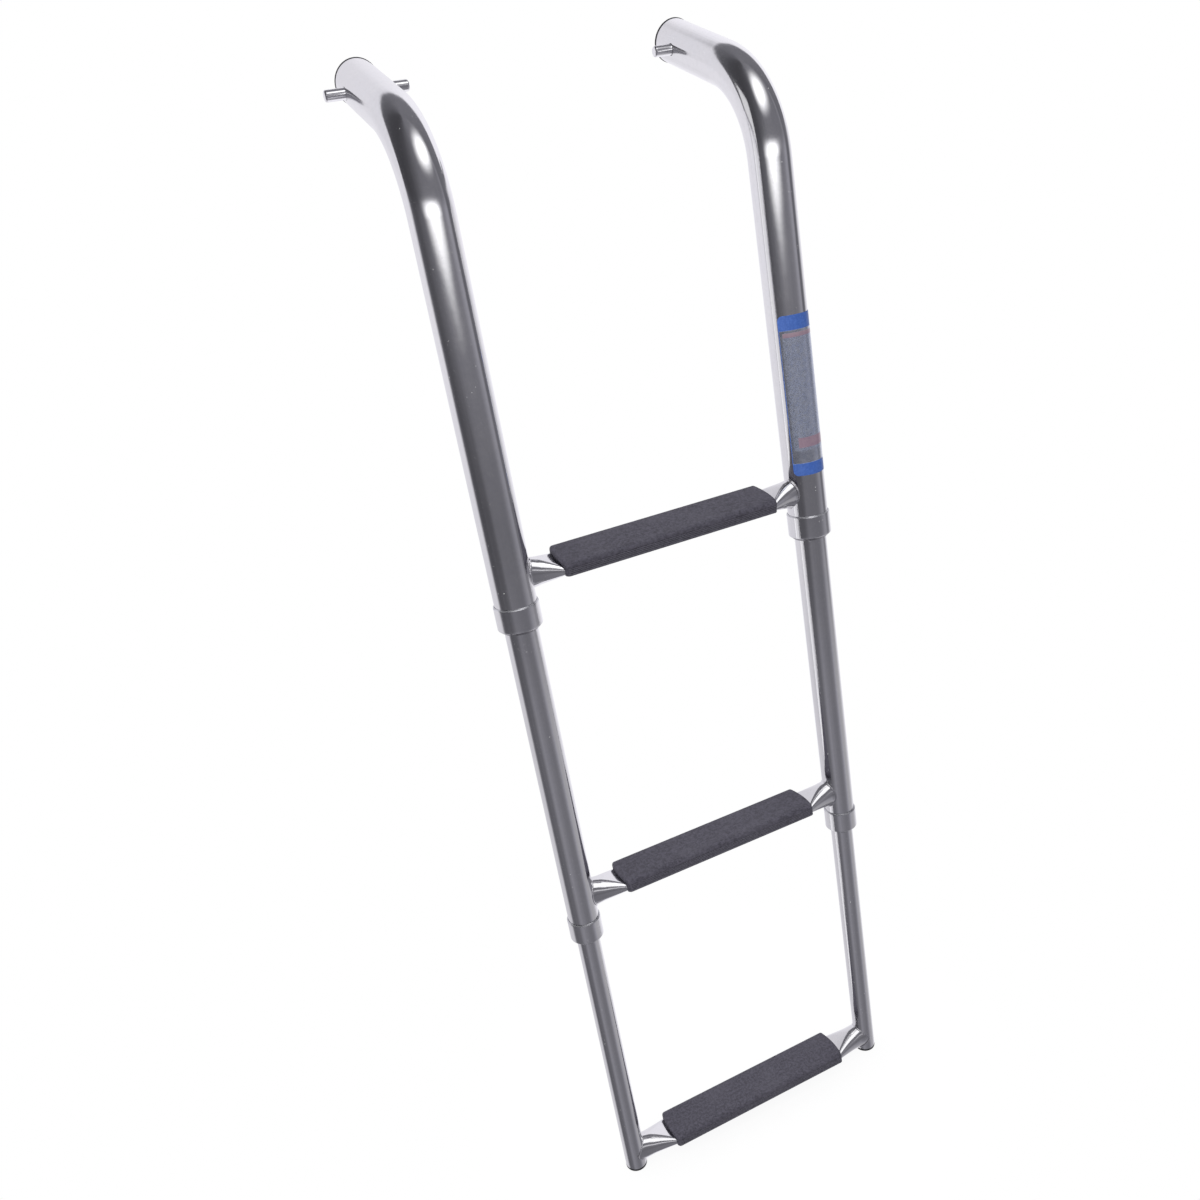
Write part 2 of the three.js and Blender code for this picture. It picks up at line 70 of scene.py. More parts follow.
# the bend of the upper rails, as the CAD source drives it
BEND_Z, BEND_R, BEND_A, TAIL = 822.0, 76.2, math.radians(68.0), 76.0
PIN_FROM_END, PIN_HOLE_R = 23.0, 4.3


# ---- mesh helpers ----
def make_object(name, verts, faces, uvs=None):
    """verts in millimetres; uvs is one list of (u, v) for each face's corners, in metres."""
    mesh = bpy.data.meshes.new(name)
    mesh.from_pydata([tuple(float(c) * MM for c in v) for v in verts], [], faces)
    if uvs is not None:
        layer = mesh.uv_layers.new(name="UVMap")
        flat = [c for face in uvs for corner in face for c in corner]
        layer.data.foreach_set("uv", np.array(flat, np.float32))
    bm = bmesh.new()
    bm.from_mesh(mesh)
    bmesh.ops.remove_doubles(bm, verts=bm.verts, dist=1e-7)
    bmesh.ops.recalc_face_normals(bm, faces=bm.faces)
    bm.to_mesh(mesh)
    bm.free()
    mesh.validate()
    obj = bpy.data.objects.new(name, mesh)
    bpy.context.scene.collection.objects.link(obj)
    return obj


def loft(name, rings, closed_v=False, caps=True, along=None):
    """rings: (m, n, 3) array, each ring closed on itself. closed_v joins the last ring to the first; caps closes both ends
    with one polygon each. along: length coordinate of each ring for the UVs."""
    rings = np.asarray(rings, float)
    m, n, _ = rings.shape
    verts = rings.reshape(-1, 3)
    if along is None:
        mid = rings.mean(axis=1)
        step = np.linalg.norm(rings[1:] - rings[:-1], axis=2).mean(axis=1)
        along = np.concatenate([[0], np.cumsum(step)])
    loop = np.linalg.norm(np.roll(rings, -1, axis=1) - rings, axis=2)
    girth = np.concatenate([[0], np.cumsum(loop.max(axis=0))])
    faces, uvs = [], []
    last = m if closed_v else m - 1
    for i in range(last):
        k = (i + 1) % m
        va = along[i] * MM
        vb = (along[k] if k > i else along[i] + 1.0) * MM
        for j in range(n):
            l = (j + 1) % n
            faces.append((i * n + j, i * n + l, k * n + l, k * n + j))
            ua, ub = girth[j] * MM, girth[j + 1] * MM
            uvs.append([(ua, va), (ub, va), (ub, vb), (ua, vb)])
    if caps and not closed_v:
        for i, order in ((0, range(n - 1, -1, -1)), (m - 1, range(n))):
            faces.append(tuple(i * n + j for j in order))
            uvs.append(
                [(rings[i, j, 1] * MM + rings[i, j, 0] * MM, rings[i, j, 2] * MM) for j in order]
            )
    return make_object(name, verts, faces, uvs)


def turned(name, profile, at, axis="Z", seg=SEG, closed=True, phase=0.0):
    """Turns a [radius, height] profile about an axis through the point at. A closed profile is a ring; an open one starts
    and ends on the axis, and its ends become poles."""
    prof = [tuple(p) for p in profile]
    ang = np.array([2 * math.pi * j / seg + phase for j in range(seg)])
    c, s = np.cos(ang), np.sin(ang)
    run = [0.0]
    for a, b in zip(prof, prof[1:]):
        run.append(run[-1] + math.dist(a, b))
    rmax = max(r for r, _ in prof)
    verts, faces, uvs = [], [], []
    start = []
    for r, z in prof:
        start.append(len(verts))
        if r < 1e-6:
            verts.append((0.0, 0.0, z))
        else:
            verts.extend((r * cc, r * ss, z) for cc, ss in zip(c, s))
    pairs = list(range(len(prof) - 1)) + ([len(prof) - 1] if closed else [])
    for i in pairs:
        k = (i + 1) % len(prof)
        va, vb = run[i] * MM, (run[k] if k > i else run[i] + 1.0) * MM
        pa, pb = prof[i][0] < 1e-6, prof[k][0] < 1e-6
        for j in range(seg):
            l = (j + 1) % seg
            ua, ub = rmax * 2 * math.pi * j / seg * MM, rmax * 2 * math.pi * (j + 1) / seg * MM
            if pa and pb:
                continue
            if pa:
                faces.append((start[i], start[k] + l, start[k] + j))
                uvs.append([(ua, va), (ub, vb), (ua, vb)])
            elif pb:
                faces.append((start[i] + j, start[i] + l, start[k]))
                uvs.append([(ua, va), (ub, va), (ua, vb)])
            else:
                faces.append((start[i] + j, start[i] + l, start[k] + l, start[k] + j))
                uvs.append([(ua, va), (ub, va), (ub, vb), (ua, vb)])
    verts = np.array(verts)
    if axis == "X":
        verts = verts[:, [2, 0, 1]]
    return make_object(name, verts + np.asarray(at, float), faces, uvs)


def arc(cx, cz, r, a0, a1, n):
    """Points on a circle, angles in degrees, both ends included."""
    return [
        (cx + r * math.cos(math.radians(a0 + (a1 - a0) * i / n)), cz + r * math.sin(math.radians(a0 + (a1 - a0) * i / n)))
        for i in range(n + 1)
    ]


def finish_mesh(obj, material, body, *nodes, slot=None, angle=32.0, weighted=True):
    mesh = obj.data
    mesh.materials.clear()
    mesh.materials.append(material)
    mesh.polygons.foreach_set("use_smooth", [True] * len(mesh.polygons))
    if angle is not None:
        mesh.set_sharp_from_angle(angle=math.radians(angle))
        if weighted:
            mod = obj.modifiers.new("weighted", "WEIGHTED_NORMAL")
            mod.mode = "FACE_AREA"
            mod.weight = 60
            mod.keep_sharp = True
    mesh.update()
    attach(obj, body)
    if nodes:
        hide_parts(*nodes)
    return obj


def second_material(obj, material, test):
    """Gives the faces whose middle passes the test (in millimetres) another finish."""
    obj.data.materials.append(material)
    for poly in obj.data.polygons:
        c = poly.center
        if test(c.x / MM, c.y / MM, c.z / MM):
            poly.material_index = 1


# ---- node helpers ----
def lin(v):
    """sRGB 0..255 to scene linear."""
    v = v / 255.0
    return v / 12.92 if v <= 0.04045 else ((v + 0.055) / 1.055) ** 2.4


class Nodes:
    def __init__(self, tree):
        self.t = tree
        self.t.nodes.clear()

    def add(self, kind, **values):
        n = self.t.nodes.new(kind)
        for key, value in values.items():
            setattr(n, key, value)
        return n

    def link(self, a, b):
        self.t.links.new(a, b)

    def put(self, socket, value):
        if isinstance(value, bpy.types.NodeSocket):
            self.link(value, socket)
        elif value is not None:
            socket.default_value = value

    def math(self, op, a, b=None, c=None, clamp=False):
        n = self.add("ShaderNodeMath", operation=op, use_clamp=clamp)
        for i, v in enumerate((a, b, c)):
            if v is not None:
                self.put(n.inputs[i], v)
        return n.outputs[0]

    def smooth(self, value, lo, hi, to0=0.0, to1=1.0, kind="SMOOTHSTEP"):
        n = self.add("ShaderNodeMapRange", interpolation_type=kind)
        n.clamp = True
        self.put(n.inputs["Value"], value)
        self.put(n.inputs["From Min"], lo)
        self.put(n.inputs["From Max"], hi)
        self.put(n.inputs["To Min"], to0)
        self.put(n.inputs["To Max"], to1)
        return n.outputs["Result"]

    def mix(self, fac, a, b, blend="MIX"):
        n = self.add("ShaderNodeMix", data_type="RGBA", blend_type=blend)
        self.put(n.inputs["Factor"], fac)
        self.put(n.inputs["A"], None)
        self.put(n.inputs[6], a)
        self.put(n.inputs[7], b)
        return n.outputs[2]

    def mixf(self, fac, a, b):
        n = self.add("ShaderNodeMix", data_type="FLOAT")
        self.put(n.inputs[0], fac)
        self.put(n.inputs[2], a)
        self.put(n.inputs[3], b)
        return n.outputs[0]

    def noise(self, vector, scale, detail=2.0, rough=0.5, distortion=0.0):
        n = self.add("ShaderNodeTexNoise")
        self.put(n.inputs["Vector"], vector)
        n.inputs["Scale"].default_value = scale
        n.inputs["Detail"].default_value = detail
        n.inputs["Roughness"].default_value = rough
        n.inputs["Distortion"].default_value = distortion
        return n.outputs["Fac"]

    def voronoi(self, vector, scale, feature="F1", randomness=1.0):
        n = self.add("ShaderNodeTexVoronoi", feature=feature)
        self.put(n.inputs["Vector"], vector)
        n.inputs["Scale"].default_value = scale
        n.inputs["Randomness"].default_value = randomness
        return n

    def scaled(self, vector, scale):
        n = self.add("ShaderNodeVectorMath", operation="MULTIPLY")
        self.put(n.inputs[0], vector)
        n.inputs[1].default_value = scale
        return n.outputs[0]

    def ramp(self, value, stops, interpolation="LINEAR"):
        n = self.add("ShaderNodeValToRGB")
        n.color_ramp.interpolation = interpolation
        el = n.color_ramp.elements
        while len(el) > 1:
            el.remove(el[-1])
        el[0].position = stops[0][0]
        el[0].color = stops[0][1]
        for p, c in stops[1:]:
            e = el.new(p)
            e.color = c
        self.put(n.inputs["Fac"], value)
        return n.outputs["Color"]

    def bump(self, height, strength, distance, normal=None):
        n = self.add("ShaderNodeBump")
        n.inputs["Strength"].default_value = strength
        n.inputs["Distance"].default_value = distance
        self.put(n.inputs["Height"], height)
        if normal is not None:
            self.put(n.inputs["Normal"], normal)
        return n.outputs["Normal"]


def new_material(name):
    m = bpy.data.materials.new(name)
    m.use_nodes = True
    return m, Nodes(m.node_tree)


def grey(v):
    return (v, v, v, 1.0)


# ---- materials ----
def polished_steel(name, tone=0.9, rough=0.11, aniso=0.55, specks=0.8, seed=0.0):
    """Mirror-bright drawn stainless tube: belt-polish lines round the tube, faint draw lines along it, smears, water specks
    and hairline scratches."""
    m, n = new_material(name)
    out = n.add("ShaderNodeOutputMaterial")
    bsdf = n.add("ShaderNodeBsdfPrincipled")
    tc = n.add("ShaderNodeTexCoord")
    uv, ob = tc.outputs["UV"], tc.outputs["Object"]
    shift = n.add("ShaderNodeVectorMath", operation="ADD")
    n.put(shift.inputs[0], ob)
    shift.inputs[1].default_value = (seed, seed * 1.7, seed * 0.3)
    ob = shift.outputs[0]
    rings = n.noise(n.scaled(uv, (40.0, 5200.0, 1.0)), 1.0, 3.0, 0.6)
    draw = n.noise(n.scaled(uv, (1500.0, 9.0, 1.0)), 1.0, 3.0, 0.55)
    cloud = n.noise(ob, 42.0, 4.0, 0.6, 0.4)
    blotch = n.noise(ob, 330.0, 3.0, 0.6)
    # specks: sparse cells of a fine Voronoi, only where a slow noise lets them through
    vor = n.voronoi(ob, 300.0)
    dot = n.smooth(vor.outputs["Distance"], 0.13, 0.05)
    gate = n.smooth(n.noise(ob, 34.0, 2.0, 0.5), 0.50, 0.62)
    pick = n.smooth(n.add("ShaderNodeSeparateColor").outputs[0], 0.0, 1.0)
    sep = pick.node.inputs["Value"].links[0].from_node
    n.link(vor.outputs["Color"], sep.inputs[0])
    chosen = n.math("GREATER_THAN", sep.outputs[0], 0.72)
    speck = n.math("MULTIPLY", n.math("MULTIPLY", dot, gate), chosen)
    fine_dots = n.smooth(n.noise(ob, 1500.0, 2.0, 0.6), 0.68, 0.76)
    fine_dots = n.math("MULTIPLY", n.math("MULTIPLY", fine_dots, n.smooth(n.noise(ob, 60.0, 3.0, 0.6), 0.5, 0.66)), 0.22)
    speck = n.math("MULTIPLY", n.math("ADD", speck, fine_dots), specks)
    # hairline scratches: two stretched noises, thresholded thin
    turned_uv = n.add("ShaderNodeMapping", vector_type="TEXTURE")
    n.put(turned_uv.inputs["Vector"], uv)
    turned_uv.inputs["Rotation"].default_value = (0, 0, math.radians(24))
    hair = n.noise(n.scaled(turned_uv.outputs[0], (2600.0, 70.0, 1.0)), 1.0, 0.0)
    hair_line = n.smooth(hair, 0.79, 0.83)
    hair_line = n.math("MULTIPLY", hair_line, n.smooth(n.noise(ob, 90.0, 2.0), 0.50, 0.6))
    hair_line = n.math("MULTIPLY", hair_line, 0.35)
    tint = n.mix(n.smooth(cloud, 0.3, 0.7), (tone * 0.972, tone * 0.968, tone * 0.992, 1), (tone, tone * 0.992, tone * 1.004, 1))
    tint = n.mix(n.math("MULTIPLY", n.smooth(draw, 0.35, 0.7), 0.14), tint, grey(tone * 0.74))
    tint = n.mix(n.math("MULTIPLY", n.smooth(blotch, 0.42, 0.66), 0.10), tint, grey(tone * 0.72))
    tint = n.mix(n.math("MULTIPLY", n.smooth(n.noise(ob, 900.0, 2.0, 0.6), 0.48, 0.7), 0.08), tint, grey(min(1.0, tone * 1.1)))
    n.put(bsdf.inputs["Base Color"], tint)
    bsdf.inputs["Metallic"].default_value = 1.0
    r = n.math("ADD", n.smooth(cloud, 0.3, 0.75, -0.015, 0.035, "LINEAR"), rough)
    r = n.math("ADD", r, n.smooth(rings, 0.3, 0.7, -0.012, 0.012, "LINEAR"))
    r = n.math("ADD", r, n.math("MULTIPLY", hair_line, 0.25))
    n.put(bsdf.inputs["Roughness"], r)
    bsdf.inputs["Anisotropic"].default_value = aniso
    bsdf.inputs["Anisotropic Rotation"].default_value = 0.25
    tan = n.add("ShaderNodeTangent", direction_type="UV_MAP", uv_map="UVMap")
    n.link(tan.outputs[0], bsdf.inputs["Tangent"])
    nrm = n.bump(rings, 0.10, 0.00002)
    nrm = n.bump(draw, 0.10, 0.00003, nrm)
    nrm = n.bump(cloud, 0.10, 0.0005, nrm)
    nrm = n.bump(n.noise(ob, 240.0, 2.0, 0.5), 0.06, 0.0001, nrm)
    n.put(bsdf.inputs["Normal"], nrm)
    white = n.add("ShaderNodeBsdfPrincipled")
    white.inputs["Base Color"].default_value = grey(0.85)
    white.inputs["Roughness"].default_value = 0.6
    mixer = n.add("ShaderNodeMixShader")
    n.put(mixer.inputs[0], n.math("MAXIMUM", speck, n.math("MULTIPLY", hair_line, 0.25)))
    n.link(bsdf.outputs[0], mixer.inputs[1])
    n.link(white.outputs[0], mixer.inputs[2])
    n.link(mixer.outputs[0], out.inputs["Surface"])
    return m


def weld_steel(name):
    """Polished weld bead: the same steel with a ripple and a faint straw and blue stain."""
    m, n = new_material(name)
    out = n.add("ShaderNodeOutputMaterial")
    bsdf = n.add("ShaderNodeBsdfPrincipled")
    tc = n.add("ShaderNodeTexCoord")
    ob = tc.outputs["Object"]
    stain = n.noise(ob, 160.0, 3.0, 0.6)
    ripple = n.noise(ob, 900.0, 2.0, 0.5)
    n.put(bsdf.inputs["Base Color"], n.mix(n.smooth(stain, 0.35, 0.7), (0.72, 0.71, 0.74, 1), (0.86, 0.85, 0.86, 1)))
    bsdf.inputs["Metallic"].default_value = 1.0
    n.put(bsdf.inputs["Roughness"], n.smooth(stain, 0.3, 0.7, 0.16, 0.30, "LINEAR"))
    n.put(bsdf.inputs["Normal"], n.bump(ripple, 0.35, 0.0002))
    n.link(bsdf.outputs[0], out.inputs["Surface"])
    return m


def edge_steel(name, dark, light, rough, metal=1.0):
    """Turned or sawn edge: the steel without its polish, with fine tool lines. The darker grey copy on the collars'
    underside lips is painted shade, and the near-black copy draws a thin dark line round the rails' cut ends.
    """
    m, n = new_material(name)
    out = n.add("ShaderNodeOutputMaterial")
    bsdf = n.add("ShaderNodeBsdfPrincipled")
    tc = n.add("ShaderNodeTexCoord")
    ob = tc.outputs["Object"]
    lines = n.noise(n.scaled(tc.outputs["UV"], (60.0, 9000.0, 1.0)), 1.0, 3.0, 0.6)
    cloud = n.noise(ob, 140.0, 3.0, 0.6)
    n.put(bsdf.inputs["Base Color"], n.mix(n.smooth(cloud, 0.3, 0.7), dark, light))
    bsdf.inputs["Metallic"].default_value = metal
    n.put(bsdf.inputs["Roughness"], n.smooth(lines, 0.3, 0.7, rough - 0.05, rough + 0.08, "LINEAR"))
    n.put(bsdf.inputs["Normal"], n.bump(lines, 0.3, 0.00004))
    n.link(bsdf.outputs[0], out.inputs["Surface"])
    return m


def tread_foam(name):
    """Dark grey moulded rubber with a fine pebble grain, dusty on the high spots and lighter along worn edges."""
    m, n = new_material(name)
    out = n.add("ShaderNodeOutputMaterial")
    bsdf = n.add("ShaderNodeBsdfPrincipled")
    tc = n.add("ShaderNodeTexCoord")
    ob = tc.outputs["Object"]
    grain = n.voronoi(ob, 1500.0, "F1")
    fine = n.noise(ob, 2600.0, 3.0, 0.65)
    mottle = n.noise(ob, 420.0, 4.0, 0.7)
    cloud = n.noise(ob, 38.0, 3.0, 0.55)
    lines = n.noise(n.scaled(ob, (10.0, 900.0, 900.0)), 1.0, 2.0, 0.6)
    geo = n.add("ShaderNodeNewGeometry")
    edge = n.smooth(geo.outputs["Pointiness"], 0.515, 0.56)
    base = n.mix(n.smooth(mottle, 0.36, 0.64), (0.044, 0.041, 0.057, 1), (0.084, 0.079, 0.106, 1))
    base = n.mix(n.math("MULTIPLY", n.smooth(fine, 0.45, 0.75), 0.40), base, (0.120, 0.114, 0.142, 1))
    base = n.mix(n.math("MULTIPLY", n.smooth(cloud, 0.4, 0.7), 0.30), base, (0.098, 0.093, 0.119, 1))
    base = n.mix(n.math("MULTIPLY", n.smooth(lines, 0.5, 0.75), 0.18), base, (0.035, 0.033, 0.043, 1))
    base = n.mix(n.math("MULTIPLY", edge, 0.30), base, (0.16, 0.155, 0.18, 1))
    n.put(bsdf.inputs["Base Color"], base)
    n.put(bsdf.inputs["Roughness"], n.smooth(mottle, 0.3, 0.7, 0.62, 0.85, "LINEAR"))
    bsdf.inputs["Specular IOR Level"].default_value = 0.35
    nrm = n.bump(grain.outputs["Distance"], 0.45, 0.00022)
    nrm = n.bump(fine, 0.35, 0.00012, nrm)
    nrm = n.bump(lines, 0.15, 0.0001, nrm)
    n.put(bsdf.inputs["Normal"], nrm)
    n.link(bsdf.outputs[0], out.inputs["Surface"])
    return m


def moulded_plastic(name, dark, light, rough, grain=1200.0, depth=0.00008):
    m, n = new_material(name)
    out = n.add("ShaderNodeOutputMaterial")
    bsdf = n.add("ShaderNodeBsdfPrincipled")
    tc = n.add("ShaderNodeTexCoord")
    ob = tc.outputs["Object"]
    a = n.noise(ob, grain, 3.0, 0.6)
    b = n.noise(ob, 110.0, 3.0, 0.6)
    scuff = n.smooth(n.noise(n.scaled(ob, (60.0, 60.0, 900.0)), 1.0, 2.0, 0.6), 0.6, 0.72)
    base = n.mix(n.smooth(b, 0.3, 0.7), dark, light)
    base = n.mix(n.math("MULTIPLY", scuff, 0.2), base, tuple(min(1.0, c * 1.6 + 0.02) for c in light[:3]) + (1,))
    n.put(bsdf.inputs["Base Color"], base)
    n.put(bsdf.inputs["Roughness"], n.smooth(b, 0.3, 0.7, rough - 0.06, rough + 0.1, "LINEAR"))
    n.put(bsdf.inputs["Normal"], n.bump(a, 0.3, depth))
    n.link(bsdf.outputs[0], out.inputs["Surface"])
    return m


def decal_print(name):
    """Clear film with a blue frame and blank colour bars, over the steel. UVs run 0..1 round the tube and 0..1 upwards."""
    m, n = new_material(name)
    out = n.add("ShaderNodeOutputMaterial")
    bsdf = n.add("ShaderNodeBsdfPrincipled")
    tc = n.add("ShaderNodeTexCoord")
    sep = n.add("ShaderNodeSeparateXYZ")
    n.link(tc.outputs["UV"], sep.inputs[0])
    u, v = sep.outputs[0], sep.outputs[1]
    ob = tc.outputs["Object"]

    def band(value, lo, hi, soft=0.003):
        return n.math("MULTIPLY", n.smooth(value, lo - soft, lo + soft), n.smooth(value, hi + soft, hi - soft))

    cloud = n.noise(ob, 260.0, 3.0, 0.6)
    steel = n.mix(n.smooth(cloud, 0.3, 0.7), (0.60, 0.64, 0.76, 1), (0.74, 0.77, 0.86, 1))
    # blank panel: an even blue haze with a fine grain, no marks
    inside = n.math("MULTIPLY", band(u, 0.05, 0.97, 0.02), band(v, 0.16, 0.88, 0.01))
    haze = n.math("ADD", n.math("MULTIPLY", n.smooth(n.noise(ob, 900.0, 4.0, 0.7), 0.35, 0.68), 0.55), 0.12)
    haze = n.math("MULTIPLY", haze, inside)
    col = n.mix(n.math("MULTIPLY", haze, 0.75), steel, (0.15, 0.21, 0.45, 1))
    red = n.math("MAXIMUM",
                 n.math("MULTIPLY", band(v, 0.868, 0.895), band(u, 0.06, 0.93)),
                 n.math("MULTIPLY", band(v, 0.180, 0.245), band(u, 0.13, 0.80)))
    col = n.mix(n.math("MULTIPLY", red, 0.62), col, (0.36, 0.13, 0.17, 1))
    frame_mask = n.math("MAXIMUM", n.math("MAXIMUM", n.smooth(v, 0.907, 0.912), n.smooth(v, 0.083, 0.078)), n.smooth(u, 0.014, 0.010))
    ink = n.mix(n.smooth(n.noise(ob, 700.0, 3.0, 0.6), 0.3, 0.75), (0.035, 0.105, 0.40, 1), (0.060, 0.150, 0.50, 1))
    col = n.mix(frame_mask, col, ink)
    # a white hairline keeps the bars off the frame
    line = n.math("MULTIPLY", band(v, 0.902, 0.906, 0.001), n.smooth(u, 0.02, 0.03))
    col = n.mix(n.math("MULTIPLY", line, 0.35), col, (0.7, 0.72, 0.78, 1))
    n.put(bsdf.inputs["Base Color"], col)
    opaque = n.math("MAXIMUM", frame_mask, n.math("MULTIPLY", n.math("MAXIMUM", red, haze), 0.5))
    n.put(bsdf.inputs["Metallic"], n.mixf(opaque, 0.92, 0.0))
    n.put(bsdf.inputs["Roughness"], n.mixf(opaque, 0.24, 0.42))
    bsdf.inputs["Coat Weight"].default_value = 0.25
    bsdf.inputs["Coat Roughness"].default_value = 0.22
    n.put(bsdf.inputs["Normal"], n.bump(n.noise(ob, 480.0, 3.0, 0.6), 0.12, 0.00012))
    n.link(bsdf.outputs[0], out.inputs["Surface"])
    return m


STEEL_UP = polished_steel("polished_steel_upper", seed=0.0)
STEEL_MID = polished_steel("polished_steel_middle", seed=0.31)
STEEL_LOW = polished_steel("polished_steel_lower", rough=0.14, seed=0.67)
# the steps' copy of the steel is toned darker (0.82) than the rails': painted shade that dims the bright sky their flat
# tops reflect
STEEL_STEP_SHADED = polished_steel("polished_steel_steps_shaded", tone=0.82, rough=0.13, aniso=0.2, specks=0.3, seed=0.12)
STEEL_COLLAR = polished_steel("polished_steel_collars", rough=0.13, aniso=0.5, specks=1.0, seed=0.45)
STEEL_PIN = polished_steel("polished_steel_pins", tone=0.95, rough=0.2, aniso=0.3, specks=0.2, seed=0.9)
EDGE_BRIGHT = edge_steel("turned_edge_bright", (0.50, 0.50, 0.53, 1), (0.74, 0.74, 0.77, 1), 0.22, 0.85)
# darker grey copy for the collars' underside lips: painted shade
COLLAR_LIP_SHADE = edge_steel("collar_lip_painted_shade", (0.26, 0.256, 0.275, 1), (0.36, 0.355, 0.38, 1), 0.42, 0.9)
# near-black steel for the rails' cut ends, drawn as a thin dark line
EDGE_DARK = edge_steel("cut_end_dark_line", (0.10, 0.098, 0.115, 1), (0.17, 0.165, 0.185, 1), 0.40, 0.9)
WELD = weld_steel("weld_bead_steel")
TREAD = tread_foam("tread_rubber_grain")
NYLON = moulded_plastic("bush_nylon", (0.60, 0.585, 0.53, 1), (0.72, 0.70, 0.64, 1), 0.5)
BLACK = moulded_plastic("plug_black_plastic", (0.012, 0.012, 0.014, 1), (0.030, 0.030, 0.034, 1), 0.42)
DECAL = decal_print("decal_blue_print")


# ---- pieces ----
def tube_rings(points, tangents, radius, count=SEG):
    """Rings of a tube whose axis lies in the YZ plane: side vector is X."""
    rings = []
    side = np.array([1.0, 0, 0])
    for p, t in zip(points, tangents):
        t = np.array(t, float)
        up = np.cross(t, side)
        rings.append(
            [
                np.array(p) + radius * (math.cos(a) * side + math.sin(a) * up)
                for a in (2 * math.pi * j / count for j in range(count))
            ]
        )
    return np.array(rings)


def upper_axis(low_z):
    pts, tans, run = [], [], []
    zs = list(np.linspace(low_z, BEND_Z, 14))
    for z in zs:
        pts.append((0, 0, z))
        tans.append((0, 0, 1))
    for i in range(1, 57):
        a = BEND_A * i / 56
        pts.append((0, BEND_R * (1 - math.cos(a)), BEND_Z + BEND_R * math.sin(a)))
        tans.append((0, math.sin(a), math.cos(a)))
    ty, tz = math.sin(BEND_A), math.cos(BEND_A)
    ey, ez = pts[-1][1], pts[-1][2]
    stations = [8, 18, 28, 36, 42, 46] + list(np.arange(47.5, 59.6, 1.5)) + [62, 66, 70, 74, TAIL]
    for s in stations:
        pts.append((0, ey + ty * s, ez + tz * s))
        tans.append((0, ty, tz))
    return np.array(pts, float), np.array(tans, float)


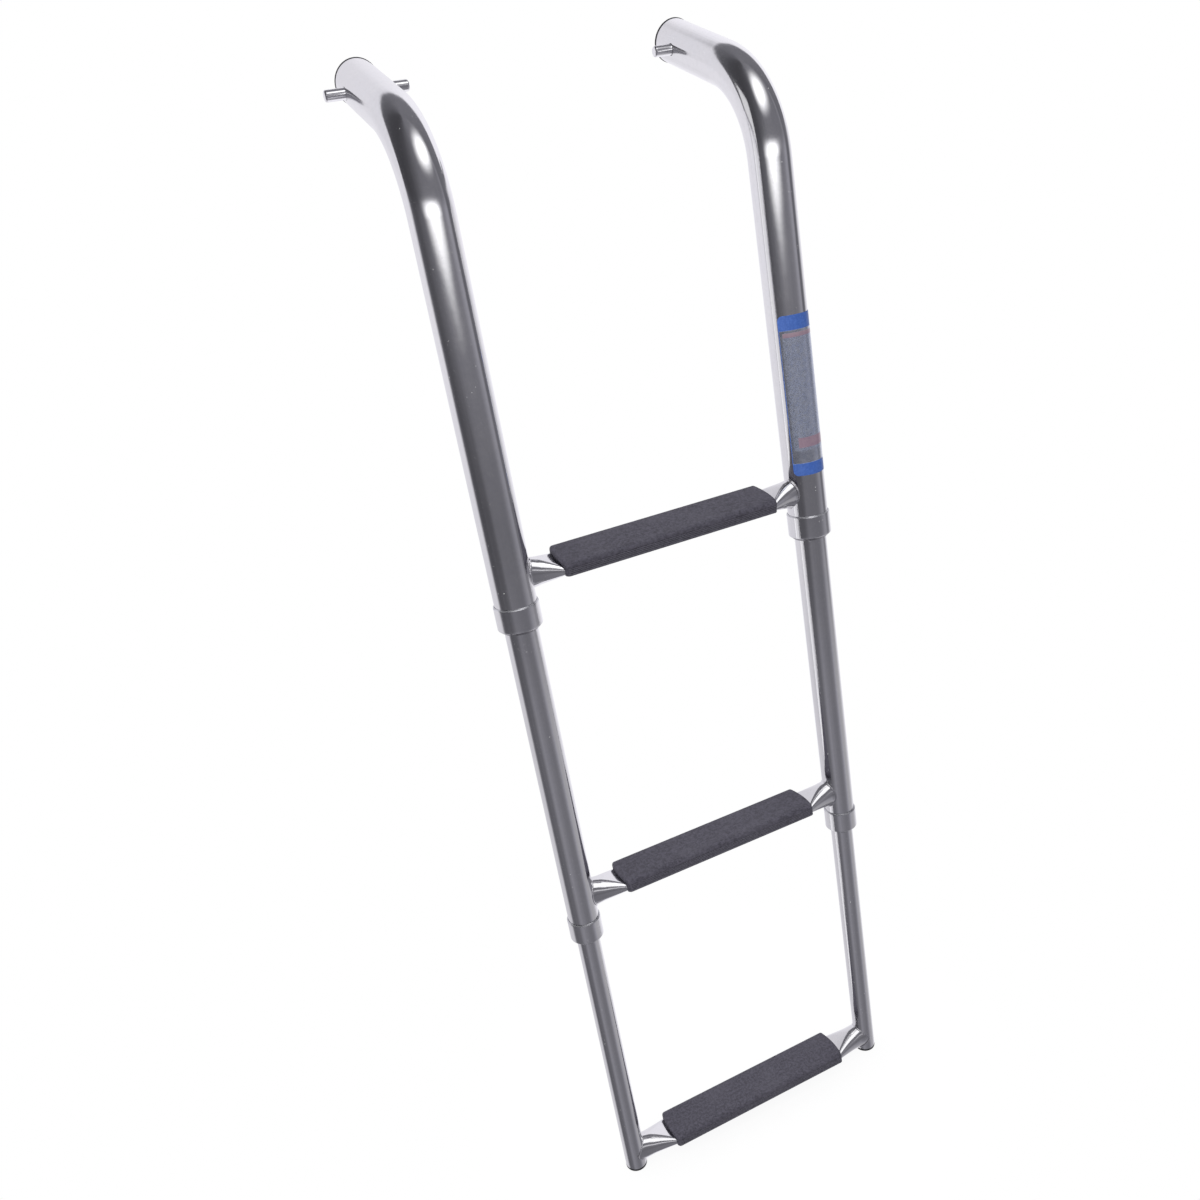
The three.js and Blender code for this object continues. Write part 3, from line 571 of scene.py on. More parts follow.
def upper_rail(side):
    lo, hi = box_mm("upper_rail_" + side)
    pts, tans = upper_axis(lo[2])
    inner_r = R_UP - WALL
    soft = 0.35  # broken edge at the cut ends
    outer, inner = [], []
    # outer skin with both cut edges broken, then the bore back again
    first, last = pts[0], pts[-1]
    def ring(p, t, r):
        return tube_rings([p], [t], r)[0]
    rings = []
    n0, n1 = tans[0], tans[-1]
    for a in (0, 30, 60, 90):
        k = math.radians(a)
        rings.append(ring(first + n0 * soft * (1 - math.sin(k)), n0, R_UP - soft + soft * math.sin(k)) if False else
                     ring(first + n0 * soft * (1 - math.cos(k)), n0, R_UP - soft * (1 - math.sin(k))))
    for p, t in zip(pts[1:-1], tans[1:-1]):
        rings.append(ring(p, t, R_UP))
    worn = 0.4  # the cut end's broken edge
    for a in (0.0, 0.12, 0.3, 0.6, 0.88, 1.0):
        rings.append(ring(last - n1 * worn * (1 - a) * (1 - 0.15 * a), n1, R_UP - worn * 0.75 * a))
    for a in (0, 45, 90):
        k = math.radians(a)
        rings.append(ring(last - n1 * 0.2 * (1 - math.cos(k)), n1, inner_r + 0.2 * (1 - math.sin(k))))
    for p, t in zip(pts[1:-1][::-1], tans[1:-1][::-1]):
        rings.append(ring(p, t, inner_r))
    rings.append(ring(first, n0, inner_r))
    name = "upper_rail_" + side + "_tube"
    obj = loft(name, np.array(rings) + np.array([AX[side][0], RAIL_Y, 0]), closed_v=True)
    # the pin's cross hole
    pin = centre("pivot_pin_" + side)
    cutter = turned("cutter_" + side, [(0, -22), (PIN_HOLE_R, -22), (PIN_HOLE_R, 22), (0, 22)], pin, "X", 64, closed=False)
    mod = obj.modifiers.new("hole", "BOOLEAN")
    mod.operation = "DIFFERENCE"
    mod.object = cutter
    mod.solver = "EXACT"
    dg = bpy.context.evaluated_depsgraph_get()
    cut = bpy.data.meshes.new_from_object(obj.evaluated_get(dg), depsgraph=dg)
    obj.modifiers.clear()
    old = obj.data
    obj.data = cut
    bpy.data.meshes.remove(old)
    old = cutter.data
    bpy.data.objects.remove(cutter)
    bpy.data.meshes.remove(old)
    finish_mesh(obj, STEEL_UP, "upper_frame", "upper_rail_" + side, slot="polished_stainless", angle=40, weighted=False)
    tip = np.array([AX[side][0], RAIL_Y, 0]) + last

    def at_end(x, y, z):
        return (y - tip[1]) * n1[1] + (z - tip[2]) * n1[2] > -worn + 0.02 and math.dist((x, y, z), tip) > inner_r + 0.05

    # the cut end's broken edge and end face are darkened to a thin dark line round the tube's end
    second_material(obj, EDGE_DARK, at_end)
    # exact normals on the skin and the bore, so that the hole's long thin faces shade as the tube does
    mesh = obj.data
    ey, ez = BEND_R * (1 - math.cos(BEND_A)), BEND_Z + BEND_R * math.sin(BEND_A)
    ty, tz = math.sin(BEND_A), math.cos(BEND_A)

    def radial(p):
        x, y, z = p[0] / MM - AX[side][0], p[1] / MM - RAIL_Y, p[2] / MM
        if z <= BEND_Z and y < BEND_R:
            q = (0.0, 0.0, z)
        else:
            s = (y - ey) * ty + (z - ez) * tz
            if s >= 0:
                q = (0.0, ey + ty * s, ez + tz * s)
            else:
                dy, dz = y - BEND_R, z - BEND_Z
                l = math.hypot(dy, dz) or 1.0
                q = (0.0, BEND_R + dy / l * BEND_R, BEND_Z + dz / l * BEND_R)
        d = Vector((x - q[0], y - q[1], z - q[2]))
        return d, d.length

    normals = [None] * len(mesh.loops)
    corner = mesh.corner_normals
    for poly in mesh.polygons:
        fn = poly.normal
        kinds = []
        for li in poly.loop_indices:
            d, l = radial(mesh.vertices[mesh.loops[li].vertex_index].co)
            kinds.append((d.normalized() if l > 0 else fn, l))
        mean = sum((k[0] for k in kinds), Vector())
        mean.normalize()
        on_skin = all(l > R_UP - 0.06 for _, l in kinds) and fn.dot(mean) > 0.9
        on_bore = all(l < inner_r + 0.06 for _, l in kinds) and fn.dot(mean) < -0.9
        for li, (d, l) in zip(poly.loop_indices, kinds):
            if on_skin:
                normals[li] = d
            elif on_bore:
                normals[li] = -d
            else:
                normals[li] = Vector(corner[li].vector)
    mesh.normals_split_custom_set([tuple(v) for v in normals])
    mesh.update()
    return obj


def plain_rail(node, radius, body, material, slot="polished_stainless"):
    """A straight rail: both cut ends lightly broken."""
    lo, hi = box_mm(node)
    c = (lo + hi) / 2
    z0, z1 = lo[2], hi[2]
    r, q, e = radius, radius - WALL, 0.3
    prof = [(q, z0), (r - e, z0), (r - e * 0.3, z0 + e * 0.3), (r, z0 + e)]
    prof += [(r, z) for z in np.linspace(z0 + 4, z1 - 4, 24)]
    prof += [(r, z1 - e), (r - e * 0.3, z1 - e * 0.3), (r - e, z1), (q, z1)]
    prof += [(q, z) for z in np.linspace(z1 - 4, z0 + 4, 12)]
    obj = turned(node + "_tube", prof, (c[0], c[1], 0))
    return finish_mesh(obj, material, body, node, slot=slot, angle=30)


def pivot_pin(side):
    node = "pivot_pin_" + side
    lo, hi = box_mm(node)
    c = (lo + hi) / 2
    r, h, e = (hi[2] - lo[2]) / 2, (hi[0] - lo[0]) / 2, 1.5
    prof = [(0, -h), (r * 0.35, -h), (r - e - 0.2, -h)]
    prof += arc(r - e, -h + e, e, -90, 0, 8)[1:]
    prof += [(r, z) for z in np.linspace(-h + e + 1, h - e - 1, 18)]
    prof += arc(r - e, h - e, e, 0, 90, 8)[:-1]
    prof += [(r - e - 0.2, h), (r * 0.35, h), (0, h)]
    obj = turned(node + "_rod", prof, c, "X", 64, closed=False)
    return finish_mesh(obj, STEEL_PIN, "upper_frame", node, slot="pin_stainless", angle=40)


def collar(node, rail_r, inner_r, body):
    """Pressed sleeve: bevelled upper mouth, straight skirt, lip rolled in underneath with a small locking notch."""
    lo, hi = box_mm(node)
    c = (lo + hi) / 2
    b, t = lo[2], hi[2]
    inside = rail_r + 0.1
    outside = (hi[0] - lo[0]) / 2
    lip = inner_r + 0.5
    # broad shoulder at the mouth
    prof = [(inside, t - 0.1), (inside + 0.06, t)]
    prof += [(outside - 1.0 * (1 - math.sin(a)), t - 1.5 * (1 - math.cos(a))) for a in [math.pi / 2 * i / 10 for i in range(1, 11)]]
    prof += [(outside, z) for z in np.linspace(t - 3, b + 4.6, 8)]
    # skirt's end: a crisp chamfer down to the inner tube
    roll, inward = 2.7, min(3.3, outside - lip - 0.3)
    prof += [(outside, b + roll + 0.35), (outside - 0.08, b + roll + 0.1), (outside - 0.3, b + roll - 0.1)]
    prof += [(outside - inward * k, b + roll - (roll - 0.1) * k) for k in (0.35, 0.65, 0.94)]
    prof += [(outside - inward, b + 0.03), (lip + 0.12, b), (lip, b + 0.25), (lip, b + 1.25), (lip + 0.25, b + 1.5)]
    prof += [(inside - 1.4, b + 1.5), (inside - 0.4, b + 2.0), (inside, b + 2.8)]
    prof += [(inside, z) for z in np.linspace(b + 6, t - 2, 4)]
    obj = turned(node + "_sleeve", prof, (c[0], c[1], 0), seg=192)
    # the notch in the lower rim, forward and to the left of the tube
    for v in obj.data.vertices:
        x, y, z = v.co.x / MM - c[0], v.co.y / MM - c[1], v.co.z / MM
        az = math.degrees(math.atan2(x, -y))
        away = abs((az + 44 + 180) % 360 - 180)
        if away < 6.0 and z < b + roll + 0.2:
            k = math.cos(away / 6.0 * math.pi / 2) ** 0.6
            v.co.z += k * max(0.0, (b + roll - z)) / roll * 1.5 * MM
    finish_mesh(obj, STEEL_COLLAR, body, node, slot="polished_stainless", angle=36)
    second_material(obj, EDGE_BRIGHT, lambda x, y, z: z > t - 1.1 and math.hypot(x - c[0], y - c[1]) > inside)
    # the skirt's underside chamfer takes the darker grey steel: painted shade under the collar's lip
    obj.data.materials.append(COLLAR_LIP_SHADE)
    for poly in obj.data.polygons:
        if poly.center.z / MM < b + roll - 0.05 and math.hypot(poly.center.x / MM - c[0], poly.center.y / MM - c[1]) > lip + 0.2:
            poly.material_index = 2
    return obj


def guide_bush(node, rail_r, inner_r, body):
    lo, hi = box_mm(node)
    c = (lo + hi) / 2
    b, t = lo[2] + 2.3, hi[2]
    sleeve, bore = rail_r - WALL - 0.1, inner_r + 0.1
    prof = [(bore, b - 2.0), (bore + 0.3, b - 2.3), (rail_r - 1.5, b - 2.3)]
    prof += arc(rail_r - 1.5, b - 1.2, 1.1, -90, 0, 6)[1:]
    prof += [(rail_r - 0.4, b - 0.35), (rail_r - 0.65, b - 0.1), (sleeve, b - 0.1)]
    prof += [(sleeve, b + 2), (sleeve, t - 0.8), (sleeve - 0.25, t), (bore + 0.1, t), (bore, t - 0.3)]
    obj = turned(node + "_ring", prof, (c[0], c[1], 0))
    return finish_mesh(obj, NYLON, body, node, slot="nylon", angle=30)


def stop_bush(node, rail_r, inner_r, body):
    lo, hi = box_mm(node)
    c = (lo + hi) / 2
    b, t = lo[2], hi[2] - 2.0
    run = rail_r - WALL - 0.1
    prof = [(inner_r + 0.05, b), (run - 0.4, b), (run, b + 0.4), (run, b + 5), (run, t + 1.4), (run - 0.6, t + 2.0)]
    prof += [(inner_r - WALL + 0.3, t + 2.0), (inner_r - WALL, t + 1.7), (inner_r - WALL, t + 0.1), (inner_r + 0.05, t + 0.1)]
    obj = turned(node + "_cap", prof, (c[0], c[1], 0))
    return finish_mesh(obj, NYLON, body, node, slot="nylon", angle=30)


STEP_WALL, ROOT_W, ROOT_H, FLAT_W, FLAT_H, AXIS_DROP = 1.3, 19.2, 24.0, 29.2, 8.0, 8.2


def flat_oval(w, h, count):
    """Flat oval where it is wider than tall, an upright ellipse where it isn't; evenly stepped by direction on its rounds,
    so that matching points of two sections share a normal."""
    r, s = h / 2, max((w - h) / 2, 0.01)
    a_y = r if w > h else w / 2
    pts = []
    half = count // 2
    for side in (1, -1):
        for i in range(half):
            # each half: the round from bottom to top
            a = -math.pi / 2 + math.pi * i / (half - 1)
            pts.append((side * (s + a_y * math.cos(a)), side * r * math.sin(a)))
    return np.array(pts)


def step_tube(node, rail_r, body, tilt, tread_len):
    """Tube pressed flat under the tread; beyond it each end swells quickly to an upright oval and is fitted to the rail."""
    lo, hi = box_mm(node)
    zc = (lo[2] + hi[2]) / 2
    flat_to, root_at = tread_len / 2 - 1.0, HALF - rail_r + 1.0
    xs = [0.0, 30.0, 60.0, 80.0, flat_to - 1.5]
    span = root_at - flat_to
    for s in np.linspace(0, 1, 33):
        xs.append(flat_to + span * s)
    count = 128

    def blend_at(x):
        s = min(1.0, max(0.0, (abs(x) - flat_to) / span))
        k = 0.55 * math.sin(math.pi / 2 * s) + 0.45 * s
        e = 0.10  # short easing where the flat ends
        return k * (0.35 + 0.65 * (s / e) * (2 - s / e)) if s < e else k

    def section(x, cut):
        k = blend_at(x)
        w = FLAT_W + (ROOT_W - FLAT_W) * k - cut
        h = FLAT_H + (ROOT_H - FLAT_H) * k - cut
        return flat_oval(w, h, count)

    def row(x, cut):
        return [(x, y, z) for y, z in section(x, cut)]

    def coped(cut, extra):
        sec = section(root_at + 5, cut)
        r = rail_r - 0.25
        return [(HALF - math.sqrt(max(r * r - y * y, 0.0)) - extra, y, z) for y, z in sec]

    rows_out = [row(x, 0) for x in xs]
    base = np.array(row(root_at, 0))
    end = np.array(coped(0, 0.0))
    rows_out += [list(base + (end - base) * k) for k in (0.35, 0.7, 1.0)]
    rows_in = [row(x, 2 * STEP_WALL) for x in xs]
    base_i = np.array(row(root_at, 2 * STEP_WALL))
    end_i = np.array(coped(2 * STEP_WALL, 0.0))
    rows_in += [list(base_i + (end_i - base_i) * k) for k in (0.5, 1.0)]

    def both(rows):
        rows = np.array(rows, float)
        left = rows[:0:-1].copy()
        left[:, :, 0] *= -1
        return np.concatenate([left, rows])

    rings = np.concatenate([both(rows_out), both(rows_in)[::-1]])
    ca, sa = math.cos(tilt), math.sin(tilt)
    y, z = rings[:, :, 1].copy(), rings[:, :, 2].copy()
    rings[:, :, 1] = y * ca - z * sa + RAIL_Y
    rings[:, :, 2] = y * sa + z * ca + zc
    obj = loft(node + "_pressed", rings, closed_v=True)
    # UVs: U runs round the tube's girth as on the rails, V along X
    finish_mesh(obj, STEEL_STEP_SHADED, body, node, slot="polished_stainless", angle=50, weighted=False)
    return zc


def weld_bead(name, side, rail_r, body, zc, tilt):
    """A dressed fillet weld where a step tube meets its rail."""
    sgn = -1 if side == "left" else 1
    n, m = 144, 16
    rings = []
    ry, rz = ROOT_W / 2 + 0.05, ROOT_H / 2 + 0.05
    ca, sa = math.cos(tilt), math.sin(tilt)
    for i in range(n):
        a = 2 * math.pi * i / n
        y, z = ry * math.cos(a), rz * math.sin(a)
        rr = rail_r + 0.05
        x = HALF - math.sqrt(max(rr * rr - y * y, 0.0))
        out_r = np.array([0.0, math.cos(a) / ry, math.sin(a) / rz])
        out_r /= np.linalg.norm(out_r)
        rad = 1.05 * (1 + 0.05 * math.sin(34 * a) + 0.05 * math.sin(7 * a + 1.0))
        if abs(y) > rr - 0.6:
            x = min(x, HALF - 0.5)
        ring = []
        for j in range(m):
            b = 2 * math.pi * j / m
            p = np.array([x, y, z]) - out_r * 0.30 + np.array([0.30, 0, 0])
            p = p + rad * (math.cos(b) * out_r + math.sin(b) * np.array([-1.0, 0, 0]))
            ring.append(p)
        rings.append(ring)
    rings = np.array(rings)
    rings[:, :, 0] *= sgn
    y, z = rings[:, :, 1].copy(), rings[:, :, 2].copy()
    rings[:, :, 1] = y * ca - z * sa + RAIL_Y
    rings[:, :, 2] = y * sa + z * ca + zc
    # the bead's hidden side stays inside the rail's wall, clear of the bore
    dx, dy = rings[:, :, 0] - sgn * HALF, rings[:, :, 1] - RAIL_Y
    r = np.hypot(dx, dy)
    grow = np.maximum(rail_r - 1.1, r) / r
    rings[:, :, 0] = sgn * HALF + dx * grow
    rings[:, :, 1] = RAIL_Y + dy * grow
    obj = loft(name, rings, closed_v=True)
    return finish_mesh(obj, WELD, body, slot="polished_stainless", angle=None)


def tread(node, body, tilt, zc):
    """Moulded pad clipped over the flattened tube: soft edges, ribs down its front, rounded ends."""
    L, D, H, BOW = 182.5 / 2, 34.4 / 2, 10.8, 2.2
    er, eb = 3.4, 2.2
    fwd = 0.8
    outline = []  # (y, z, kind, groove) kind: o outer, c channel
    for p in arc(D - eb, -eb, eb, 0, 90, 8):
        outline.append((p[0], p[1], "o", 0.0))
    for y in np.linspace(D - eb - 3, -D + er + 2.0, 9):
        outline.append((y, 0.0, "o", 0.0))
    for p in arc(-D + er, -er, er, 90, 180, 10):
        outline.append((p[0], p[1], "o", 0.0))
    pitch = 1.42
    z = -er - 0.30
    for i in range(4):
        zz = z - i * pitch
        for dz, g in ((0.0, 0.0), (-0.16, 0.35), (-0.30, 1.0), (-0.52, 1.0), (-0.68, 0.35), (-0.84, 0.0)):
            outline.append((-D, zz + dz, "f", g))
    outline += [(-D, -H + 0.75, "o", 0), (-D + 0.2, -H + 0.25, "o", 0), (-D + 0.75, -H, "o", 0)]
    w, r = FLAT_W / 2 + 0.25, FLAT_H / 2 + 0.25
    cy = w - r
    lip = math.asin((H - AXIS_DROP) / r)
    angles = [-lip + lip * i / 6 for i in range(7)] + [math.pi / 2 * i / 8 for i in range(1, 9)]
    outline.append((fwd - (cy + r * math.cos(lip)) - 0.35, -H, "c", 0))
    for a in angles:
        outline.append((fwd - (cy + r * math.cos(a)), -AXIS_DROP + r * math.sin(a), "c", 0))
    for a in [a for a in angles[::-1] if a >= -0.01]:
        outline.append((fwd + (cy + r * math.cos(a)), -AXIS_DROP + r * math.sin(a), "c", 0))
    hb = AXIS_DROP + 0.35  # the back wall stops level with the tube's axis
    outline.append((fwd + cy + r - 0.05, -hb + 0.1, "c", 0))
    outline += [(D - 0.45, -hb, "o", 0), (D - 0.12, -hb + 0.15, "o", 0), (D, -hb + 0.5, "o", 0), (D, -hb + 2.5, "o", 0)]
    depth = 0.42

    def inset(radius, d):
        if d >= radius:
            return 0.0
        return radius - math.sqrt(max(radius * radius - (radius - d) ** 2, 0.0))

    def section(d):
        f, b, t = inset(2.2, d), inset(1.6, d), inset(2.6, d)
        fade = min(1.0, max(0.0, (d - 0.4) / 2.2))
        pts = []
        for y, z, kind, g in outline:
            if kind == "c":
                pts.append((y, z))
                continue
            if kind == "f":
                y = y + depth * g * fade
            elif kind == "t":
                z = z - 0.38 * g * fade
            k = (D - f) / D if y < 0 else (D - b) / D
            zz = z - t * max(0.0, 1 + z / 4.0)
            pts.append((y * k, zz))
        return pts

    ds = [0, 0.06, 0.16, 0.32, 0.55, 0.85, 1.3, 1.8, 2.3, 3.0, 4.0]
    xs = [-L + d for d in ds] + list(np.linspace(-L + 7, L - 7, 40)) + [L - d for d in ds[::-1]]
    rings = []
    for x in xs:
        d = L - abs(x)
        bow = BOW * max(0.0, 1 - d / 24.0)  # the ends bow outwards
        rings.append([(x - math.copysign(bow * (y / D) ** 2, x), y - fwd, z + AXIS_DROP) for y, z in section(d)])
    rings = np.array(rings, float)
    ca, sa = math.cos(tilt), math.sin(tilt)
    y, z = rings[:, :, 1].copy(), rings[:, :, 2].copy()
    rings[:, :, 1] = y * ca - z * sa + RAIL_Y
    rings[:, :, 2] = y * sa + z * ca + zc
    obj = loft(node + "_pad", rings)
    return finish_mesh(obj, TREAD, body, node, slot="tread_rubber", angle=38)


def plug_profile(r, proud):
    """Flange from z = 0 to 2.4 with a rolled outer edge and a small dimple from the mould, shank up to 16."""
    f, shank = 2.4, r - WALL - 0.15
    prof = [(0, 0.3), (2.6, 0.3), (3.0, 0.0), (r * 0.55, 0.0), (r - 1.4, 0.0)]
    turn = [math.pi / 2 * (1 - i / 8) for i in range(9)][1:]
    prof += [(r + proud - (1.4 + proud) * (1 - math.cos(a)), 1.3 - 1.3 * math.sin(a)) for a in turn]
    prof += [(r + proud, f - 0.35), (r + proud - 0.15, f), (shank, f), (shank, f + 1), (shank, 15), (shank - 1, 16), (0, 16)]
    return prof


def foot_plug(side):
    node = "foot_plug_" + side
    lo, hi = box_mm(node)
    c = (lo + hi) / 2
    obj = turned(node + "_cap", plug_profile(R_LOW, 0.1), (c[0], c[1], 0), closed=False)
    return finish_mesh(obj, BLACK, "lower_section", node, slot="black_plastic", angle=35)


def tail_plug(side):
    node = "tail_plug_" + side
    obj = turned(node + "_cap", plug_profile(R_UP, 0.3), (0, 0, 0), closed=False)
    pts, tans = upper_axis(0.0)
    end, t = pts[-1], tans[-1]
    turn = Matrix.Rotation(math.pi - BEND_A, 4, "X")
    at = Vector((AX[side][0], RAIL_Y + end[1] + 2.5 * t[1], end[2] + 2.5 * t[2])) * MM
    obj.data.transform(Matrix.Translation(at) @ turn)
    return finish_mesh(obj, BLACK, "upper_frame", node, slot="black_plastic", angle=35)


def decal():
    """Film wrapped on the right rail, with rounded corners."""
    lo, hi = box_mm("safety_decal")
    z0, z1 = lo[2], hi[2]
    inner, outer = R_UP + 0.05, R_UP + 0.28
    a0, a1 = math.radians(-60), math.radians(120)
    rad = 4.0
    cols = 72
    zs, cuts = [], []
    for d in (0, 0.08, 0.3, 0.7, 1.2, 2.0, 3.0, 4.0):
        zs.append(z0 + d)
        cuts.append(rad - math.sqrt(max(rad * rad - (rad - d) ** 2, 0)) if d < rad else 0.0)
    for z in np.linspace(z0 + 8, z1 - 8, 26):
        zs.append(z)
        cuts.append(0.0)
    for d in (4.0, 3.0, 2.0, 1.2, 0.7, 0.3, 0.08, 0):
        zs.append(z1 - d)
        cuts.append(rad - math.sqrt(max(rad * rad - (rad - d) ** 2, 0)) if d < rad else 0.0)
    verts, uv_of = [], []
    per = 2 * (cols + 1)
    for z, cut in zip(zs, cuts):
        b0, b1 = a0 + cut / outer, a1 - cut / outer
        for r, order in ((outer, range(cols + 1)), (inner, range(cols, -1, -1))):
            for j in order:
                a = b0 + (b1 - b0) * j / cols
                verts.append((AX["right"][0] + r * math.sin(a), RAIL_Y - r * math.cos(a), z))
                uv_of.append(((a - a0) / (a1 - a0), (z - z0) / (z1 - z0)))
    faces = []
    for i in range(len(zs) - 1):
        for j in range(per):
            l = (j + 1) % per
            faces.append((i * per + j, i * per + l, (i + 1) * per + l, (i + 1) * per + j))
    for base in (0, (len(zs) - 1) * per):
        for j in range(cols):
            k = per - 1 - j
            faces.append((base + j, base + j + 1, base + k - 1, base + k))
    uvs = [[uv_of[i] for i in f] for f in faces]
    obj = make_object("safety_decal_film", verts, faces, uvs)
    return finish_mesh(obj, DECAL, "upper_frame", "safety_decal", slot="decal_film", angle=40)


TILT = math.radians(12)
for side in ("left", "right"):
    upper_rail(side)
    pivot_pin(side)
    tail_plug(side)
    plain_rail("middle_rail_" + side, R_MID, "middle_section", STEEL_MID)
    plain_rail("lower_rail_" + side, R_LOW, "lower_section", STEEL_LOW)
    collar("upper_collar_" + side, R_UP, R_MID, "upper_frame")
    collar("middle_collar_" + side, R_MID, R_LOW, "middle_section")
    guide_bush("upper_guide_bush_" + side, R_UP, R_MID, "upper_frame")
    guide_bush("middle_guide_bush_" + side, R_MID, R_LOW, "middle_section")
    stop_bush("middle_stop_bush_" + side, R_UP, R_MID, "middle_section")
    stop_bush("lower_stop_bush_" + side, R_MID, R_LOW, "lower_section")
    foot_plug(side)
for step, rail_r, body, tilt in (
    ("top", R_UP, "upper_frame", TILT),
    ("middle", R_MID, "middle_section", 0.0),
    ("bottom", R_LOW, "lower_section", 0.0),
):
    zc = step_tube(step + "_step_tube", rail_r, body, tilt, 182.5)
    tread(step + "_tread", body, tilt, zc)
    for side in ("left", "right"):
        weld_bead("weld_" + step + "_" + side, side, rail_r, body, zc, tilt)
decal()

# ---- stage ----
CAM = np.array([-316.194, -693.049, 811.854])
RVEC = np.array([1.8597046415938432, -0.5095215005886458, 0.11217407480660009])
TVEC = np.array([148.13156540371878, 477.37735611481116, 994.7713611031651])
FOCAL = 1043.693614499806


def rodrigues(v):
    a = np.linalg.norm(v)
    k = v / a
    K = np.array([[0, -k[2], k[1]], [k[2], 0, -k[0]], [-k[1], k[0], 0]])
    return np.eye(3) + math.sin(a) * K + (1 - math.cos(a)) * K @ K


ROT = rodrigues(RVEC)
EYE = (-ROT.T @ TVEC + np.array([0, RAIL_Y, 0])) * MM
cam_data = bpy.data.cameras.new("camera")
cam = bpy.data.objects.new("camera", cam_data)
bpy.context.scene.collection.objects.link(cam)
right, up, back = ROT[0], -ROT[1], -ROT[2]
cam.matrix_world = Matrix(
    [
        [right[0], up[0], back[0], EYE[0]],
        [right[1], up[1], back[1], EYE[1]],
        [right[2], up[2], back[2], EYE[2]],
        [0, 0, 0, 1],
    ]
)
cam_data.sensor_width = 36.0
cam_data.lens = FOCAL / 1200.0 * 36.0
cam_data.clip_start, cam_data.clip_end = 0.01, 100.0
bpy.context.scene.camera = cam
bpy.context.scene.view_settings.view_transform = "Standard"
bpy.context.scene.view_settings.look = "None"


def area_light(name, at, target, size_x, size_y, radiance, colour=(1, 1, 1)):
    data = bpy.data.lights.new(name, "AREA")
    data.shape = "RECTANGLE"
    data.size, data.size_y = size_x, size_y
    data.energy = radiance * math.pi * size_x * size_y
    data.color = colour
    obj = bpy.data.objects.new(name, data)
    obj.location = at
    obj.rotation_mode = "QUATERNION"
    obj.rotation_quaternion = (Vector(target) - Vector(at)).to_track_quat("-Z", "Y")
    obj.visible_camera = False
    bpy.context.scene.collection.objects.link(obj)
    return obj


def soft_edge(light, inner, power=1.0):
    """The lamp's face is full in its middle and fades out to its rim."""
    light.data.use_nodes = True
    t = Nodes(light.data.node_tree)
    o = t.add("ShaderNodeOutputLight")
    em = t.add("ShaderNodeEmission")
    c = t.add("ShaderNodeTexCoord")
    v = t.add("ShaderNodeVectorMath", operation="SUBTRACT")
    t.link(c.outputs["UV"], v.inputs[0])
    v.inputs[1].default_value = (0.5, 0.5, 0.0)
    l = t.add("ShaderNodeVectorMath", operation="LENGTH")
    t.link(v.outputs[0], l.inputs[0])
    t.put(em.inputs["Strength"], t.math("POWER", t.smooth(l.outputs["Value"], 0.5, inner), power))
    t.link(em.outputs[0], o.inputs["Surface"])
    return light


soft_edge(area_light("softbox_over", (0.108, -0.386, 1.372), (0.0, -0.05, 0.88), 0.95, 0.58, 1.7), 0.05, 1.25)
front = area_light("softbox_front", (-0.167, -0.873, 0.88), (0.0, -0.05, 0.84), 1.9, 0.42, 1.75)
soft_edge(front, 0.1)
# this lamp's face narrows and fades downwards; only the upper rails pick it up
t = Nodes.__new__(Nodes)
t.t = front.data.node_tree
em = next(n for n in t.t.nodes if n.type == "EMISSION")
uv = t.add("ShaderNodeTexCoord").outputs["UV"]
parts = t.add("ShaderNodeSeparateXYZ")
t.link(uv, parts.inputs[0])
high_up = parts.outputs[1]
across = t.math("ABSOLUTE", t.math("SUBTRACT", parts.outputs[0], 0.5))
reach = t.smooth(high_up, 0.0, 0.5, 0.14, 0.5, "SMOOTHSTEP")
face = t.smooth(t.math("DIVIDE", across, reach), 1.0, 0.0)
face = t.math("MULTIPLY", face, t.smooth(high_up, 1.0, 0.5))
face = t.math("MULTIPLY", face, t.smooth(high_up, 0.0, 0.55, 0.0, 1.0))
t.put(em.inputs["Strength"], face)
bends = bpy.data.collections.new("upper_rails_only")
for side in ("left", "right"):
    bends.objects.link(bpy.data.objects["upper_rail_" + side + "_tube"])
    bends.objects.link(bpy.data.objects["upper_collar_" + side + "_sleeve"])
front.light_linking.receiver_collection = bends
# a strip above and in front of each step, for its ends only
for k, (step, z) in enumerate((("top", 0.583), ("middle", 0.303), ("bottom", 0.024))):
    strip = area_light("strip_" + step, (0.22, -0.62, z + 0.72), (0.0, -0.05, z), 1.5, 0.52, 1.1)
    only = bpy.data.collections.new("ends_of_" + step + "_step")
    only.objects.link(bpy.data.objects[step + "_step_tube_pressed"])
    for side in ("left", "right"):
        only.objects.link(bpy.data.objects["weld_" + step + "_" + side])
    strip.light_linking.receiver_collection = only
# a tall pale card at the left that only the right-hand rail picks up
card = area_light("card_left", (-1.35, 0.207, 0.25), (0.127, -0.053, 0.45), 0.72, 3.4, 0.66, (0.985, 0.98, 1.0))
linked = bpy.data.collections.new("right_hand_pieces")
for name in ("upper_rail_right_tube", "middle_rail_right_tube", "lower_rail_right_tube", "upper_collar_right_sleeve",
             "middle_collar_right_sleeve"):
    linked.objects.link(bpy.data.objects[name])
card.light_linking.receiver_collection = linked

